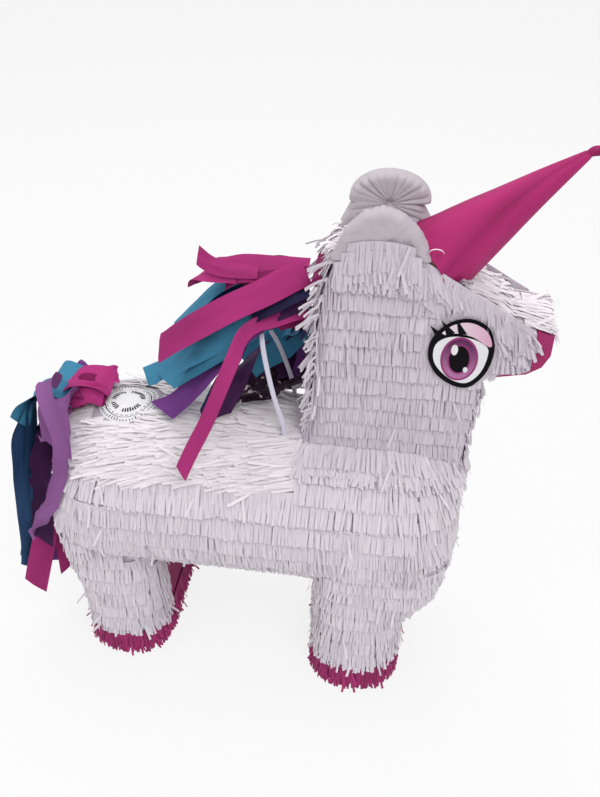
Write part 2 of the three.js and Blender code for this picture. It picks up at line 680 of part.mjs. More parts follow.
function addHeadSkins() {
  const skinHalf = headHalfWidth + fringeDepth;
  const coverX = neckRearX + muzzleCoverShare * headReach;
  const ahead = block([coverX, -wide, 0], [long, wide, tall]);
  const behind = block([-long, -wide, 0], [coverX - seatGap, wide, tall]);
  const below = block([-long, -wide, 0], [long, wide, fringeTopZ]);
  const panelSeat = plate(grownOutline(panelOutline, seatGap), -headHalfWidth - seatGap, headHalfWidth + seatGap);
  const coverHalf = headHalfWidth + tissueWall + seatGap;
  const covered = plate(grownOutline(earlessOutline, tissueWall + seatGap), -coverHalf, coverHalf);
  const chinLine = [...muzzleLine, ...jawLine.slice(1)];
  const chin = strip(chinLine, seatGap, tissueWall + seatGap, -coverHalf, coverHalf);
  const cover = covered.intersect(ahead).subtract(panelSeat).add(chin);
  addMesh("muzzle_cover", mainBody(cover), magentaTissue);

  for (const [side, sign] of [["right", -1], ["left", 1]]) {
    const rowsTop = fringeTopZ;
    const rowsBottom = rootRearPoint[1];
    const rows = Math.round((rowsTop - rowsBottom) / rowPitch);
    const section = [];
    for (let row = 0; row < rows; row++) {
      const low = rowsBottom + (rowsTop - rowsBottom) * row / rows;
      const high = rowsBottom + (rowsTop - rowsBottom) * (row + 1) / rows;
      section.push([headHalfWidth + fringeDepth, low], [headHalfWidth + rowTopDepth, high]);
    }
    section.push([headHalfWidth + seatGap, rowsTop], [headHalfWidth + seatGap, rowsBottom]);
    const turned = plate(section, -long, long).rotate([0, 0, sign * 90]);
    const cut = plate(earlessOutline, -wide, wide).intersect(below).intersect(behind);
    const skin = turned.intersect(cut).subtract(skinSeat);
    addMesh(`neck_fringe_${side}`, mainBody(skin), tissueWhite);
  }
  const chinRoom = strip(chinLine, 0, tissueWall + 2 * seatGap, -wide, wide);
  const pollTop = [napeLine.at(-2), ...pollLine];
  const pollHalf = earInnerY - seatGap;
  const poll = strip(pollTop, seatGap, rowTopDepth, -pollHalf, pollHalf).subtract(hornRoom).subtract(tieSpace);
  const skins = {
    nape_fringe: [...napeLine].reverse(),
    bridge_fringe: bridgeLine,
    throat_fringe: throatLine,
  };
  for (const [name, line] of Object.entries(skins)) {
    const runsUp = name === "nape_fringe";
    let rows = toothedStrip(runsUp ? line.map(([x, z]) => [-x, z]) : line, -skinHalf, skinHalf);
    if (runsUp) rows = rows.mirror([1, 0, 0]);
    const kept = name === "bridge_fringe" ? rows.intersect(behind) : rows;
    const skin = kept.subtract(skinSeat).subtract(coneRoom).subtract(tieSpace).subtract(chinRoom);
    const trimmed = skin.intersect(below);
    const open = runsUp ? napeSlots.reduce((rest, slot) => rest.subtract(slot), trimmed).add(poll) : trimmed;
    addMesh(name, mainBody(open), tissueWhite);
  }
}

const tieSpace = rod("y", maneTieRadius + seatGap, maneTieLength + 2 * seatGap, [maneTieX, 0, maneTieZ]);

function addEyes() {
  const [eyeX, eyeZ] = headPoint(eyeShare);
  const disc = new THREE.CylinderGeometry(0.5, 0.5, 1, eyeSteps);
  for (const [side, sign] of [["right", -1], ["left", 1]]) {
    const place = new THREE.Matrix4()
      .makeTranslation(eyeX, sign * (headHalfWidth + fringeDepth + seatGap + decalThickness / 2), eyeZ)
      .multiply(new THREE.Matrix4().makeScale(eyeLength, decalThickness, eyeHeight));
    addMesh(`eye_decal_${side}`, solidOf(disc, place), printedPaper);
  }
}

function addFlap() {
  const flap = new THREE.Group();
  flap.name = "flap";
  pinata.add(flap);
  const card = cardSolid.subtract(cardHollow);
  const opening = flapCutter(flapRadius, hingeY, barrelAxisHeight, tall);
  addMesh("fill_flap", mainBody(card.intersect(opening)), cardGrey, flap);
  const sticker = bodyForm(stickerDepth).subtract(cardSeat);
  const disc = flapCutter(flapRadius, hingeY, barrelAxisHeight, tall);
  addMesh("sticker_disc", mainBody(sticker.intersect(disc)), printedPaper, flap);
  const whole = flapCutter(stickerRadius, wide, barrelAxisHeight, tall);
  addMesh("sticker_ring", mainBody(sticker.intersect(whole).subtract(holeCutter)), printedPaper);
}

function addLoop() {
  const patchInner = bodyForm(-2 * cardWall - seatGap);
  const patchOuter = bodyForm(-cardWall - seatGap);
  const patch = patchOuter.subtract(patchInner).intersect(block(
    [loopX - patchHalfLength, loopNearY - patchMargin, barrelAxisHeight],
    [loopX + patchHalfLength, loopFarY + patchMargin, tall],
  )).subtract(loopHoleCutter);
  addMesh("loop_patch", mainBody(patch), cardGrey);

  const patchRadius = barrelRadius - 2 * cardWall - seatGap;
  const footZ = (y) => barrelAxisHeight + Math.sqrt(patchRadius ** 2 - y ** 2);
  const knotDrop = (y) => (loopKnotRadius + seatGap) * patchRadius / Math.sqrt(patchRadius ** 2 - y ** 2);
  const knots = [loopNearY, loopFarY].map((y) => [loopX, y, footZ(y) - knotDrop(y) - seatGap]);
  const above = barrelRadius + loopClearance;
  const outZ = (y) => barrelAxisHeight + Math.sqrt(above ** 2 - y ** 2);
  const loopTopZ = barrelCrownZ + loopRise;
  const leg = (y) => loopRiseShares.map((rise, i) => [
    loopX - loopLean * rise,
    y * loopBowShares[i],
    outZ(y) + (loopTopZ - outZ(y)) * rise,
  ]);
  const points = [
    knots[0], [loopX, loopNearY, outZ(loopNearY)], ...leg(loopNearY),
    [loopX - loopLean, 0, loopTopZ],
    ...leg(loopFarY).reverse(), [loopX, loopFarY, outZ(loopFarY)], knots[1],
  ];
  const curve = new THREE.CatmullRomCurve3(points.map((p) => new THREE.Vector3(...p)), false, "centripetal");
  const leanAxis = new THREE.Vector3(loopRise, 0, loopLean).normalize();
  const rings = [];
  for (let i = 0; i <= curveSteps; i++) {
    const centre = curve.getPointAt(i / curveSteps);
    const along = curve.getTangentAt(i / curveSteps);
    const wideWay = leanAxis.clone().addScaledVector(along, -leanAxis.dot(along)).normalize();
    const thinWay = along.clone().cross(wideWay);
    const ring = [];
    for (let k = 0; k < strapSteps; k++) {
      const angle = (2 * k + 1) * Math.PI / strapSteps;
      ring.push(centre.clone().addScaledVector(wideWay, Math.cos(angle) * loopWidth / 2)
        .addScaledVector(thinWay, Math.sin(angle) * loopStrapThickness / 2).toArray());
    }
    rings.push(ring);
  }
  let loop = loft(rings);
  for (const knot of knots) {
    const ball = new THREE.SphereGeometry(loopKnotRadius, cornerSteps * 2, cornerSteps + 2);
    loop = loop.add(solidOf(ball, new THREE.Matrix4().makeTranslation(...knot)));
  }
  addMesh("hang_loop", loop, nylonWhite);
}

// Routes of the streamers as shares of their mane's or tail's own reach. Each leaves its tie at an angle
// above level, at a place along the tie; start and end say which way its width lies.
const maneUpper = {
  mane_streamer_pink_broad: {
    leave: [-25, 0],
    shares: [[0.26, -0.03, 0.77], [0.53, -0.06, 0.66], [0.78, -0.09, 0.53], [0.98, -0.11, 0.4]],
    start: [0.25, 0.1, 1], end: [0.3, 0.5, 0.8], finish: magentaCrepe,
  },
  mane_streamer_pink_curl: {
    leave: [-5, 0.21],
    shares: [[0.26, 0.22, 0.86], [0.45, 0.22, 0.81], [0.58, 0.2, 0.77], [0.66, 0.16, 0.81], [0.68, 0.13, 0.9]],
    start: [0, 1, 0], end: [0.3, 1, 0.1], finish: magentaCrepe,
  },
  mane_streamer_teal_high: {
    leave: [-50, 0.28],
    shares: [[0.3, 0.42, 0.72], [0.55, 0.44, 0.66], [0.76, 0.44, 0.57], [0.91, 0.42, 0.45]],
    start: [0, 1, 0], end: [0.2, 1, 0.6], finish: tealCrepe,
  },
  mane_streamer_pink_long: {
    leave: [-70, -0.18],
    shares: [[0.15, -0.22, 0.76], [0.31, -0.24, 0.66], [0.43, -0.31, 0.56], [0.51, -0.47, 0.41],
      [0.58, -0.7, 0.24], [0.68, -0.93, 0.05], [0.75, -1.07, -0.14]],
    start: [0.4, -0.6, 1], end: [1, 0.1, 0.4], finish: magentaCrepe, width: narrowStreamerWidth,
  },
};
// These leave the nape at a share of the rise, in slots of its fringe
const maneLower = {
  mane_streamer_teal_mid: {
    leave: [0.18, 0.78],
    shares: [[0.22, 0.31, 0.6], [0.45, 0.33, 0.43], [0.66, 0.3, 0.28], [0.83, 0.25, 0.16], [0.97, 0.2, 0.09]],
    start: [0, 1, 0], end: [0, 1, 0.1], finish: tealCrepe,
  },
  mane_streamer_teal_low: {
    leave: [0.18, 0.6],
    shares: [[0.07, 0.38, 0.5], [0.16, 0.68, 0.38], [0.29, 0.84, 0.22], [0.43, 0.86, 0.06], [0.62, 0.86, -0.04]],
    start: [0, 1, 0], end: [0, 1, -0.5], finish: tealCrepe,
  },
  mane_streamer_purple_flat: {
    leave: [-0.08, 0.71],
    shares: [[0.3, -0.03, 0.63], [0.5, -0.08, 0.46], [0.68, -0.16, 0.26], [0.83, -0.24, 0.12], [1, -0.28, 0.07]],
    start: [0, 1, 0], end: [0, 1, 0.1], finish: purpleCrepe, width: narrowStreamerWidth,
  },
  mane_streamer_purple_deep: {
    leave: [0.18, 0.38],
    shares: [[0, 0.55, 0.26], [0.04, 0.84, 0.12], [0.18, 1, -0.03], [0.38, 1.05, -0.2]],
    start: [0, 1, 0], end: [1, 0, -0.1], finish: purpleCrepe,
  },
  mane_foil: {
    leave: [0.05, 0.27],
    shares: [[0.1, 0.05, 0.2], [0.22, 0.06, 0.13], [0.38, 0.05, 0.09], [0.57, 0.03, 0.07]],
    start: [0, 1, 0], end: [0, 1, 0], finish: purpleFoil, width: narrowStreamerWidth,
  },
};
const tailStreamers = {
  tail_streamer_teal_loop: {
    leave: [35, -0.13],
    shares: [[0.28, -0.2, 1.08], [0.49, -0.34, 1.03], [0.61, -0.41, 0.94], [0.71, -0.46, 0.77],
      [0.8, -0.5, 0.56], [0.87, -0.54, 0.31], [0.89, -0.57, 0.22]],
    start: [0, 1, 0], end: [0.7, 0.6, 0], finish: tealCrepe,
  },
  tail_streamer_purple_near: {
    leave: [12, -0.22],
    shares: [[0.2, -0.5, 0.99], [0.28, -0.83, 0.91], [0.3, -0.97, 0.8], [0.37, -0.97, 0.66],
      [0.57, -0.91, 0.53], [0.82, -0.86, 0.43]],
    start: [0, 1, 0], end: [0.3, 0.2, 0.9], finish: purpleCrepe, width: narrowStreamerWidth,
  },
  tail_streamer_pink_near: {
    leave: [-20, -0.17],
    shares: [[0.4, -0.2, 0.89], [0.48, -0.34, 0.74], [0.53, -0.54, 0.52], [0.62, -0.71, 0.31], [0.75, -0.8, 0.15]],
    start: [0, 1, 0], end: [0.8, 0.5, 0.2], finish: magentaCrepe,
  },
  tail_streamer_purple_mid: {
    leave: [-12, 0.2],
    shares: [[0.42, 0.1, 0.94], [0.66, 0, 0.75], [0.74, -0.03, 0.52], [0.82, -0.06, 0.31], [0.87, -0.09, 0.19]],
    start: [0, 1, 0], end: [0.3, 1, 0], finish: purpleCrepe,
  },
  tail_streamer_pink_flat: {
    leave: [-34, 0.24],
    shares: [[0.34, 0.28, 0.86], [0.45, 0.26, 0.72], [0.43, 0.2, 0.49], [0.44, 0.11, 0.3], [0.46, 0.09, 0.14]],
    start: [0, 1, 0], end: [0.2, 1, 0], finish: magentaCrepe,
  },
  tail_streamer_teal_far: {
    leave: [32, 0.25],
    shares: [[0.37, 0.4, 1], [0.55, 0.58, 0.89], [0.64, 0.66, 0.66], [0.69, 0.66, 0.42], [0.73, 0.63, 0.23]],
    start: [0, 1, 0], end: [0.3, 1, 0], finish: tealCrepe,
  },
  tail_streamer_purple_far: {
    leave: [8, 0.25],
    shares: [[0.24, 0.52, 0.985], [0.4, 0.84, 0.895], [0.5, 0.97, 0.7], [0.55, 1, 0.49], [0.6, 1, 0.29]],
    start: [0, 1, 0], end: [0.3, 1, 0], finish: purpleCrepe, width: narrowStreamerWidth,
  },
};

const manePoint = ([back, left, up]) => [
  maneRootX - back * maneReach,
  left * maneSpread,
  barrelCrownZ + up * maneRise,
];
const tailPoint = ([back, left, up]) => [tailTieX - back * tailReach, left * tailSpread, up * tailTieZ];

// Two points that take a streamer straight off a tie, from just clear of its surface
function offTie(tieX, tieZ, tieRadius, angle, y) {
  return [seatGap, fringeDepth].map((clear) => [
    tieX - (tieRadius + clear) * Math.cos(radians(angle)),
    y,
    tieZ + (tieRadius + clear) * Math.sin(radians(angle)),
  ]);
}

// Two points that take a streamer straight off the nape's card, through its fringe
function offNape(y, z) {
  return [seatGap, napeStandoff].map((clear) => [napeXAt(z) - clear, y, z]);
}

function maneTieRoute({ leave: [angle, left], shares }) {
  return [...offTie(maneTieX, maneTieZ, maneTieRadius, angle, left * maneSpread), ...shares.map(manePoint)];
}
function napeRoute({ leave: [left, up], shares }) {
  return [...offNape(left * maneSpread, barrelCrownZ + up * maneRise), ...shares.map(manePoint)];
}
function tailTieRoute({ leave: [angle, left], shares }) {
  return [...offTie(tailTieX, tailTieZ, tailTieRadius, angle, left * tailSpread), ...shares.map(tailPoint)];
}

// The slots in the nape's fringe that the lower streamers come out of
const napeSlots = Object.values(maneLower).map((route) => {
  const [inner, outer] = napeRoute(route);
  const halfWidth = (route.width ?? streamerWidth) / 2 + slotSideRoom;
  return block(
    [outer[0], outer[1] - halfWidth, outer[2] - slotHalfHeight],
    [inner[0] + fringeDepth, outer[1] + halfWidth, outer[2] + slotHalfHeight],
  );
});

function addStreamers(routes, routeOf, parent = pinata) {
  for (const [name, route] of Object.entries(routes)) {
    addMesh(name, ribbon(routeOf(route), route.start, route.end, route.width), route.finish, parent);
  }
}

function addMane() {
  const mane = new THREE.Group();
  pinata.add(mane);
  addMesh("mane_tie", rod("y", maneTieRadius, maneTieLength, [maneTieX, 0, maneTieZ]), magentaCrepe, mane);
  addStreamers(maneUpper, maneTieRoute, mane);
  addStreamers(maneLower, napeRoute);
}

function addTail() {
  const tail = new THREE.Group();
  pinata.add(tail);
  addMesh("tail_tie", rod("y", tailTieRadius, tailTieLength, [tailTieX, 0, tailTieZ]), magentaCrepe, tail);
  addStreamers(tailStreamers, tailTieRoute, tail);
}

addBodyCard();
addLegs();
addBodySkins();
addHeadCard();
addHorn();
addEars();
addHeadSkins();
addEyes();
addFlap();
addLoop();
addMane();
addTail();

export default pinata;
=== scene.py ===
"""A white fringed unicorn pinata with a crepe mane, tail and horn, dressed over its CAD frame.

Lengths are metres. The head points along +X, the right flank faces -Y, and +Z is up.
"""

import math
import random

import bpy
import numpy as np
from mathutils import Matrix, Vector, noise
from mathutils.bvhtree import BVHTree


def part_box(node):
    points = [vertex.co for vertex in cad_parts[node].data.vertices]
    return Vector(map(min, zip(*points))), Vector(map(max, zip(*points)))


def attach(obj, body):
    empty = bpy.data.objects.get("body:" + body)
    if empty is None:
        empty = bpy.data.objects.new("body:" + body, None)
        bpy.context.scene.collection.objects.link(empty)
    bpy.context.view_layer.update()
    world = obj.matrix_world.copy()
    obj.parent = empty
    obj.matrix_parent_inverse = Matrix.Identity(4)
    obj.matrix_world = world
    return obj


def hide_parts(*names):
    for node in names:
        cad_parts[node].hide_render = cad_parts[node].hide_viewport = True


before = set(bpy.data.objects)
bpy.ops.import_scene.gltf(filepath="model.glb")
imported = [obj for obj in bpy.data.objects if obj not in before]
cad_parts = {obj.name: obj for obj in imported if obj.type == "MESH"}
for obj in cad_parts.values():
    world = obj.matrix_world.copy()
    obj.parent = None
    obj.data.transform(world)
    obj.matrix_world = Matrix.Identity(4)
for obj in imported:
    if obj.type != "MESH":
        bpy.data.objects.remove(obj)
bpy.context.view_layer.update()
UP = Vector((0, 0, 1))

# Camera: the photograph's viewpoint and field
CAMERA_PLACE = (0.128, -0.619, 0.787)
CAMERA_AZIMUTH = 8
CAMERA_PITCH = 38
CAMERA_LENS = 39.75

# Tissue fringe
ROW_PITCH = 0.0185
FLANK_PITCH = 0.0205
HEAD_PITCH = 0.0155
BACK_PITCH = 0.0125
STRAND_WIDTH = 0.0025
STRAND_LENGTH = 0.0262
STRAND_STEPS = 5
GLUE_LIFT = 0.0036
PLIES = 2
PLY_STEP = 0.0009
NOISE_SPACINGS = (6, 8, 9, 10)
NORMAL_KEPT = 0.55
NORMAL_TAKEN = 0.45
LEAST_TURN = 0.2
# How single strands vary: waves run along a row, spreads are each strand's own
PLACE_SPREAD = 0.08
LIFT_WAVE = 0.25
LIFT_SPREAD = 0.12
CURL_SPREAD = 0.0005
# Painted shade of the strands: a middle value, its wave along a row and its spread from strand to strand
SHADE = 0.72
SHADE_WAVE = 0.07
SHADE_SPREAD = 0.1
STRAY_RISE = (0.002, 0.008)
STRAY_CURL = 0.002
STRAY_TURN = 0.28
# Painted light: a stray strand is drawn lighter where it lifts into the light
STRAY_PAINTED_LIGHT = 0.25
PLY_SHORTER = 0.05
LEAST_WIDTH = 0.86
BACKING = 0.0026
FLOOR_CLEAR = 0.0006

# The body, measured from the frame
barrel_low, barrel_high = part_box("barrel_shell")
BARREL_RADIUS = (barrel_high[1] - barrel_low[1]) / 2
BARREL_AXIS = barrel_high[2] - BARREL_RADIUS
panel_low, panel_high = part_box("head_panel_right")
HEAD_HALF = -panel_low[1]
HEAD_EDGE = 0.9
LEG_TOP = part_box("front_leg_fringe")[1][2]
HOOF_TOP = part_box("front_hoof_fringe")[1][2]
FRINGE_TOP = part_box("neck_fringe_right")[1][2]
eye_low, eye_high = (Vector(corner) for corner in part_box("eye_decal_right"))
EYE_CENTRE = (eye_low + eye_high) / 2
EYE_LENGTH = eye_high.x - eye_low.x
EYE_HEIGHT = eye_high.z - eye_low.z
EYE_CLEAR = 0.0046
EYE_MARGIN = 0.004

sticker_low, sticker_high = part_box("sticker_ring")
STICKER_CENTRE = Vector(((sticker_low[0] + sticker_high[0]) / 2, 0, 0))
STICKER_RADIUS = (sticker_high[0] - sticker_low[0]) / 2

# Streamers: where the mane and the tail are tied, and the spans that their routes are shares of
MANE_ROOT = Vector((0.045, 0, 0.277))
MANE_SPAN = Vector((-0.13, 0.08, 0.17))
TAIL_ROOT = Vector((-0.163, 0, 0))
TAIL_SPAN = Vector((-0.089, 0.07, 0.286))
BROAD = 0.027
MIDDLE = 0.021
NARROW = 0.0125


# Materials


def new_node(tree, kind, **inputs):
    node = tree.nodes.new(kind)
    for name, value in inputs.items():
        node.inputs[name].default_value = value
    return node


def wire(source, output, target, entry):
    """Joins one node's output to another's input, in the tree that holds both."""
    source.id_data.links.new(source.outputs[output], target.inputs[entry])


def principled(mat):
    return mat.node_tree.nodes["Principled BSDF"]


def material(name, colour, roughness=0.7, metallic=0.0, sheen=0.0, shine=0.3):
    mat = bpy.data.materials.new(name)
    mat.use_nodes = True
    shader = principled(mat)
    shader.inputs["Base Color"].default_value = (*colour, 1)
    shader.inputs["Roughness"].default_value = roughness
    shader.inputs["Metallic"].default_value = metallic
    shader.inputs["Sheen Weight"].default_value = sheen
    shader.inputs["Specular IOR Level"].default_value = shine
    return mat


def toned_and_shaded(mat, light, dark):
    """The colour runs from dark to light with a value that each vertex carries: painted shade on the fringe
    strands and the horn, a random tone on the streamers, and print on the eye.
    """
    tone_and_shade = mat.node_tree.nodes.new("ShaderNodeAttribute")
    tone_and_shade.attribute_name = "tone_and_shade"
    mix = mat.node_tree.nodes.new("ShaderNodeMix")
    mix.data_type = "RGBA"
    mix.inputs["A"].default_value = (*dark, 1)
    mix.inputs["B"].default_value = (*light, 1)
    wire(tone_and_shade, "Fac", mix, "Factor")
    wire(mix, "Result", principled(mat), "Base Color")
    return mat


def textured(tree, coordinates, stretch, **inputs):
    """A noise texture, stretched along the axes of its coordinates."""
    place = tree.nodes.new("ShaderNodeTexCoord")
    mapping = new_node(tree, "ShaderNodeMapping", Scale=stretch)
    texture = new_node(tree, "ShaderNodeTexNoise", **inputs)
    wire(place, coordinates, mapping, "Vector")
    wire(mapping, "Vector", texture, "Vector")
    return texture


def bumped(mat, scale, strength, distance, stretch=(1, 1, 1), coordinates="Object", detail=4):
    """A fine noise relief."""
    relief = textured(mat.node_tree, coordinates, stretch, Scale=scale, Detail=detail, Roughness=0.6)
    bump = new_node(mat.node_tree, "ShaderNodeBump", Strength=strength, Distance=distance)
    wire(relief, "Fac", bump, "Height")
    wire(bump, "Normal", principled(mat), "Normal")
    return mat


# Painted reflection: where the foil's noise turns from dark to pale glints
GLINT_FROM = 0.6
GLINT_FULL = 0.66


def with_painted_glints(mat, dark, light):
    """Creased foil: dark, with small pale glints painted along its creases, as painted reflections of the
    lamps.
    """
    tree = mat.node_tree
    glint_noise = textured(tree, "UV", (2.2, 9, 1), Scale=1.6, Detail=2.5, Roughness=0.5, Distortion=0.8)
    ramp = tree.nodes.new("ShaderNodeValToRGB")
    for stop, position, colour in zip(ramp.color_ramp.elements, (GLINT_FROM, GLINT_FULL), (dark, light)):
        stop.position = position
        stop.color = (*colour, 1)
    wire(glint_noise, "Fac", ramp, "Fac")
    wire(ramp, "Color", principled(mat), "Base Color")
    return mat


CREPE_DARK = 0.5


def crepe(name, colour):
    """Crepe paper: fine crinkles across the strip, and a colour that varies a little."""
    dark = tuple(part * CREPE_DARK for part in colour)
    mat = toned_and_shaded(material(name, colour, shine=0.15), colour, dark)
    return bumped(mat, 5, 0.35, 0.0006, (5, 90, 1), "UV", 6)


def white_tissue(name, light, dark):
    return toned_and_shaded(material(name, WHITE, 0.8, sheen=0.1), light, dark)


WHITE = (0.78, 0.73, 0.77)
MAGENTA = (0.45, 0.035, 0.2)
# Painted shade: each white tissue's strands run from its light colour to a darker one, the painted shade
# under and between them.
tissue = white_tissue("tissue_white", (0.8, 0.745, 0.795), (0.56, 0.5, 0.575))
# Painted shade: the same white tissue, darkened for the upright sides of the neck and head and the feet of
# the ears.
head_tissue_painted_shade = white_tissue("head_tissue_painted_shade", (0.69, 0.625, 0.69), (0.48, 0.415, 0.495))
# Painted light: the same white tissue, lightened for strands that face the light above, on the back, the
# poll, the bridge and round the horn's foot.
top_strands_painted_light = white_tissue("top_strands_painted_light", (0.9, 0.86, 0.885), (0.66, 0.61, 0.66))
# Painted shade: the glued white tissue under the strands, darkened where it shows in the shaded gaps between
# them.
under_tissue_painted_shade = material("under_tissue_painted_shade", (0.52, 0.46, 0.54), 0.9)
# Painted light: the glued tissue on the bridge, lighter than the other glued tissue as it faces the light
# above.
top_tissue_painted_light = material("top_tissue_painted_light", (0.76, 0.71, 0.75), 0.9)
# Painted shade: the ears' white tissue, darkened to the grey it shows in shade.
ear_tissue_painted_shade = material("ear_tissue_painted_shade", (0.5, 0.45, 0.49), 0.75, sheen=0.15)
bumped(ear_tissue_painted_shade, 38, 0.35, 0.0016, (1, 1, 2))
# Painted shade: the hoof strands run from magenta down to a darker magenta, the painted shade between and
# under them.
hoof_tissue = toned_and_shaded(material("hoof_tissue", MAGENTA), (0.46, 0.04, 0.19), (0.15, 0.006, 0.055))
# Painted shade: the glued tissue under the hoof strands, darkened where it shows in the shaded gaps.
hoof_under_painted_shade = material("hoof_under_painted_shade", (0.2, 0.009, 0.075), 0.8)
# Painted shade: the magenta lining under the belly and on the hoof soles, darkened to its colour in shade.
lining_tissue_painted_shade = bumped(material("lining_tissue_painted_shade", (0.27, 0.016, 0.1), 0.8), 120, 0.4, 0.001)
muzzle_tissue = bumped(material("muzzle_tissue", (0.36, 0.02, 0.13), 0.65, sheen=0.1), 60, 0.6, 0.002)
card = bumped(material("card", (0.42, 0.3, 0.18), 0.9), 90, 0.2, 0.0004)
strap = bumped(material("strap", (0.66, 0.64, 0.76), 0.4), 900, 0.3, 0.0003)
print_black = material("print_black", (0.006, 0.005, 0.007), 0.6, shine=0.05)
print_white = material("print_white", (0.8, 0.79, 0.82), 0.35)
print_lid = toned_and_shaded(material("print_lid", (0.75, 0.4, 0.55), 0.35), (0.8, 0.72, 0.76), (0.66, 0.22, 0.42))
print_iris = toned_and_shaded(material("print_iris", (0.3, 0.05, 0.2), 0.3), (0.45, 0.17, 0.36), (0.09, 0.004, 0.06))
print_rim = material("print_rim", (0.3, 0.03, 0.17), 0.35)
CREPE_COLOURS = {
    "magenta": MAGENTA,
    # Painted shade: the same magenta crepe, darkened for streamers that lie in shade.
    "magenta_painted_shade": (0.25, 0.012, 0.1),
    "teal": (0.055, 0.24, 0.39),
    "blue": (0.03, 0.085, 0.2),
    "purple": (0.18, 0.05, 0.25),
    "lilac": (0.3, 0.115, 0.33),
    "plum": (0.055, 0.013, 0.07),
    "navy": (0.018, 0.016, 0.06),
}
crepes = {name: crepe(f"crepe_{name}", colour) for name, colour in CREPE_COLOURS.items()}
# Painted reflection: the foil's pale glints are painted into its colour.
foil = with_painted_glints(material("foil", (0.03, 0.012, 0.03), 0.25, 0.6), (0.035, 0.012, 0.03), (0.85, 0.78, 0.72))
crepes["foil"] = bumped(foil, 3, 1, 0.005, (4, 14, 1), "UV")
# Painted shade: the horn's crepe runs from magenta down to a darker magenta over its folds.
horn_crepe = toned_and_shaded(material("horn_crepe", MAGENTA, 0.6, shine=0.15), (0.47, 0.03, 0.17), (0.2, 0.01, 0.07))
bumped(horn_crepe, 4, 0.4, 0.0012, (3, 30, 1), "UV", 6)


# Meshes


def mesh_object(name, vertices, faces, mat, body="pinata", smooth=True, tone_and_shade=None, uv=None):
    """A mesh that rides on a CAD body. Its tone-and-shade values, painted shade on some pieces, are one for
    each vertex, and uv a pair.
    """
    data = bpy.data.meshes.new(name)
    data.from_pydata([tuple(v) for v in vertices], [], [tuple(f) for f in faces])
    if smooth:
        data.shade_smooth()
    if tone_and_shade is not None:
        layer = data.attributes.new("tone_and_shade", "FLOAT", "POINT")
        layer.data.foreach_set("value", np.asarray(tone_and_shade, dtype=np.float32))
    if uv is not None:
        layer = data.uv_layers.new(name="uv")
        corners = np.zeros(len(data.loops), dtype=np.int32)
        data.loops.foreach_get("vertex_index", corners)
        layer.data.foreach_set("uv", np.asarray(uv, dtype=np.float32)[corners].ravel())
    data.materials.append(mat)
    made = bpy.data.objects.new(name, data)
    bpy.context.scene.collection.objects.link(made)
    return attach(made, body)


def grid_faces(rows, columns, closed=False):
    """Quads over rows of vertices. A closed grid joins each row's end to its start."""
    faces = []
    for r in range(rows - 1):
        for c in range(columns if closed else columns - 1):
            after = (c + 1) % columns
            here, above = r * columns, (r + 1) * columns
            faces.append((here + c, here + after, above + after, above + c))
    return faces


def tree_of(*names, extra=([], [])):
    """One search tree over CAD nodes and any extra mesh, in the part's frame."""
    vertices, faces = list(extra[0]), list(extra[1])
    for name in names:
        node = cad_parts[name]
        start = len(vertices)
        vertices += [node.matrix_world @ v.co for v in node.data.vertices]
        faces += [[start + i for i in f.vertices] for f in node.data.polygons]
    return BVHTree.FromPolygons(vertices, faces)


def outward(normal, way):
    """The normal, turned to the side that faces the way."""
    return normal if normal.dot(way) > 0 else -normal


def clamped(value):
    return min(1, max(0, value))


def noise_line(rng, count, spacing):
    """A smooth random run of values about 0, with a knot each few strands."""
    knots = [rng.gauss(0, 1) for _ in range(int(count / spacing) + 3)]
    values = []
    for i in range(count):
        k, part = divmod(i / spacing, 1)
        ease = part * part * (3 - 2 * part)
        values.append(knots[int(k)] * (1 - ease) + knots[int(k) + 1] * ease)
    return values


# Fringe


class Comb:
    """How a row's strands lie: their size, how far they lift, and how far they stray."""

    def __init__(self, length=STRAND_LENGTH, width=STRAND_WIDTH, lift=0.0022, lean=0.022, wave=0.045,
                 twist=0.06, stray=0.008, follow=0.8, ragged=0.025, fold=0.1):
        self.length, self.width, self.lift, self.follow = length, width, lift, follow
        self.lean, self.wave, self.twist, self.fold = lean, wave, twist, fold
        self.stray, self.ragged = stray, ragged


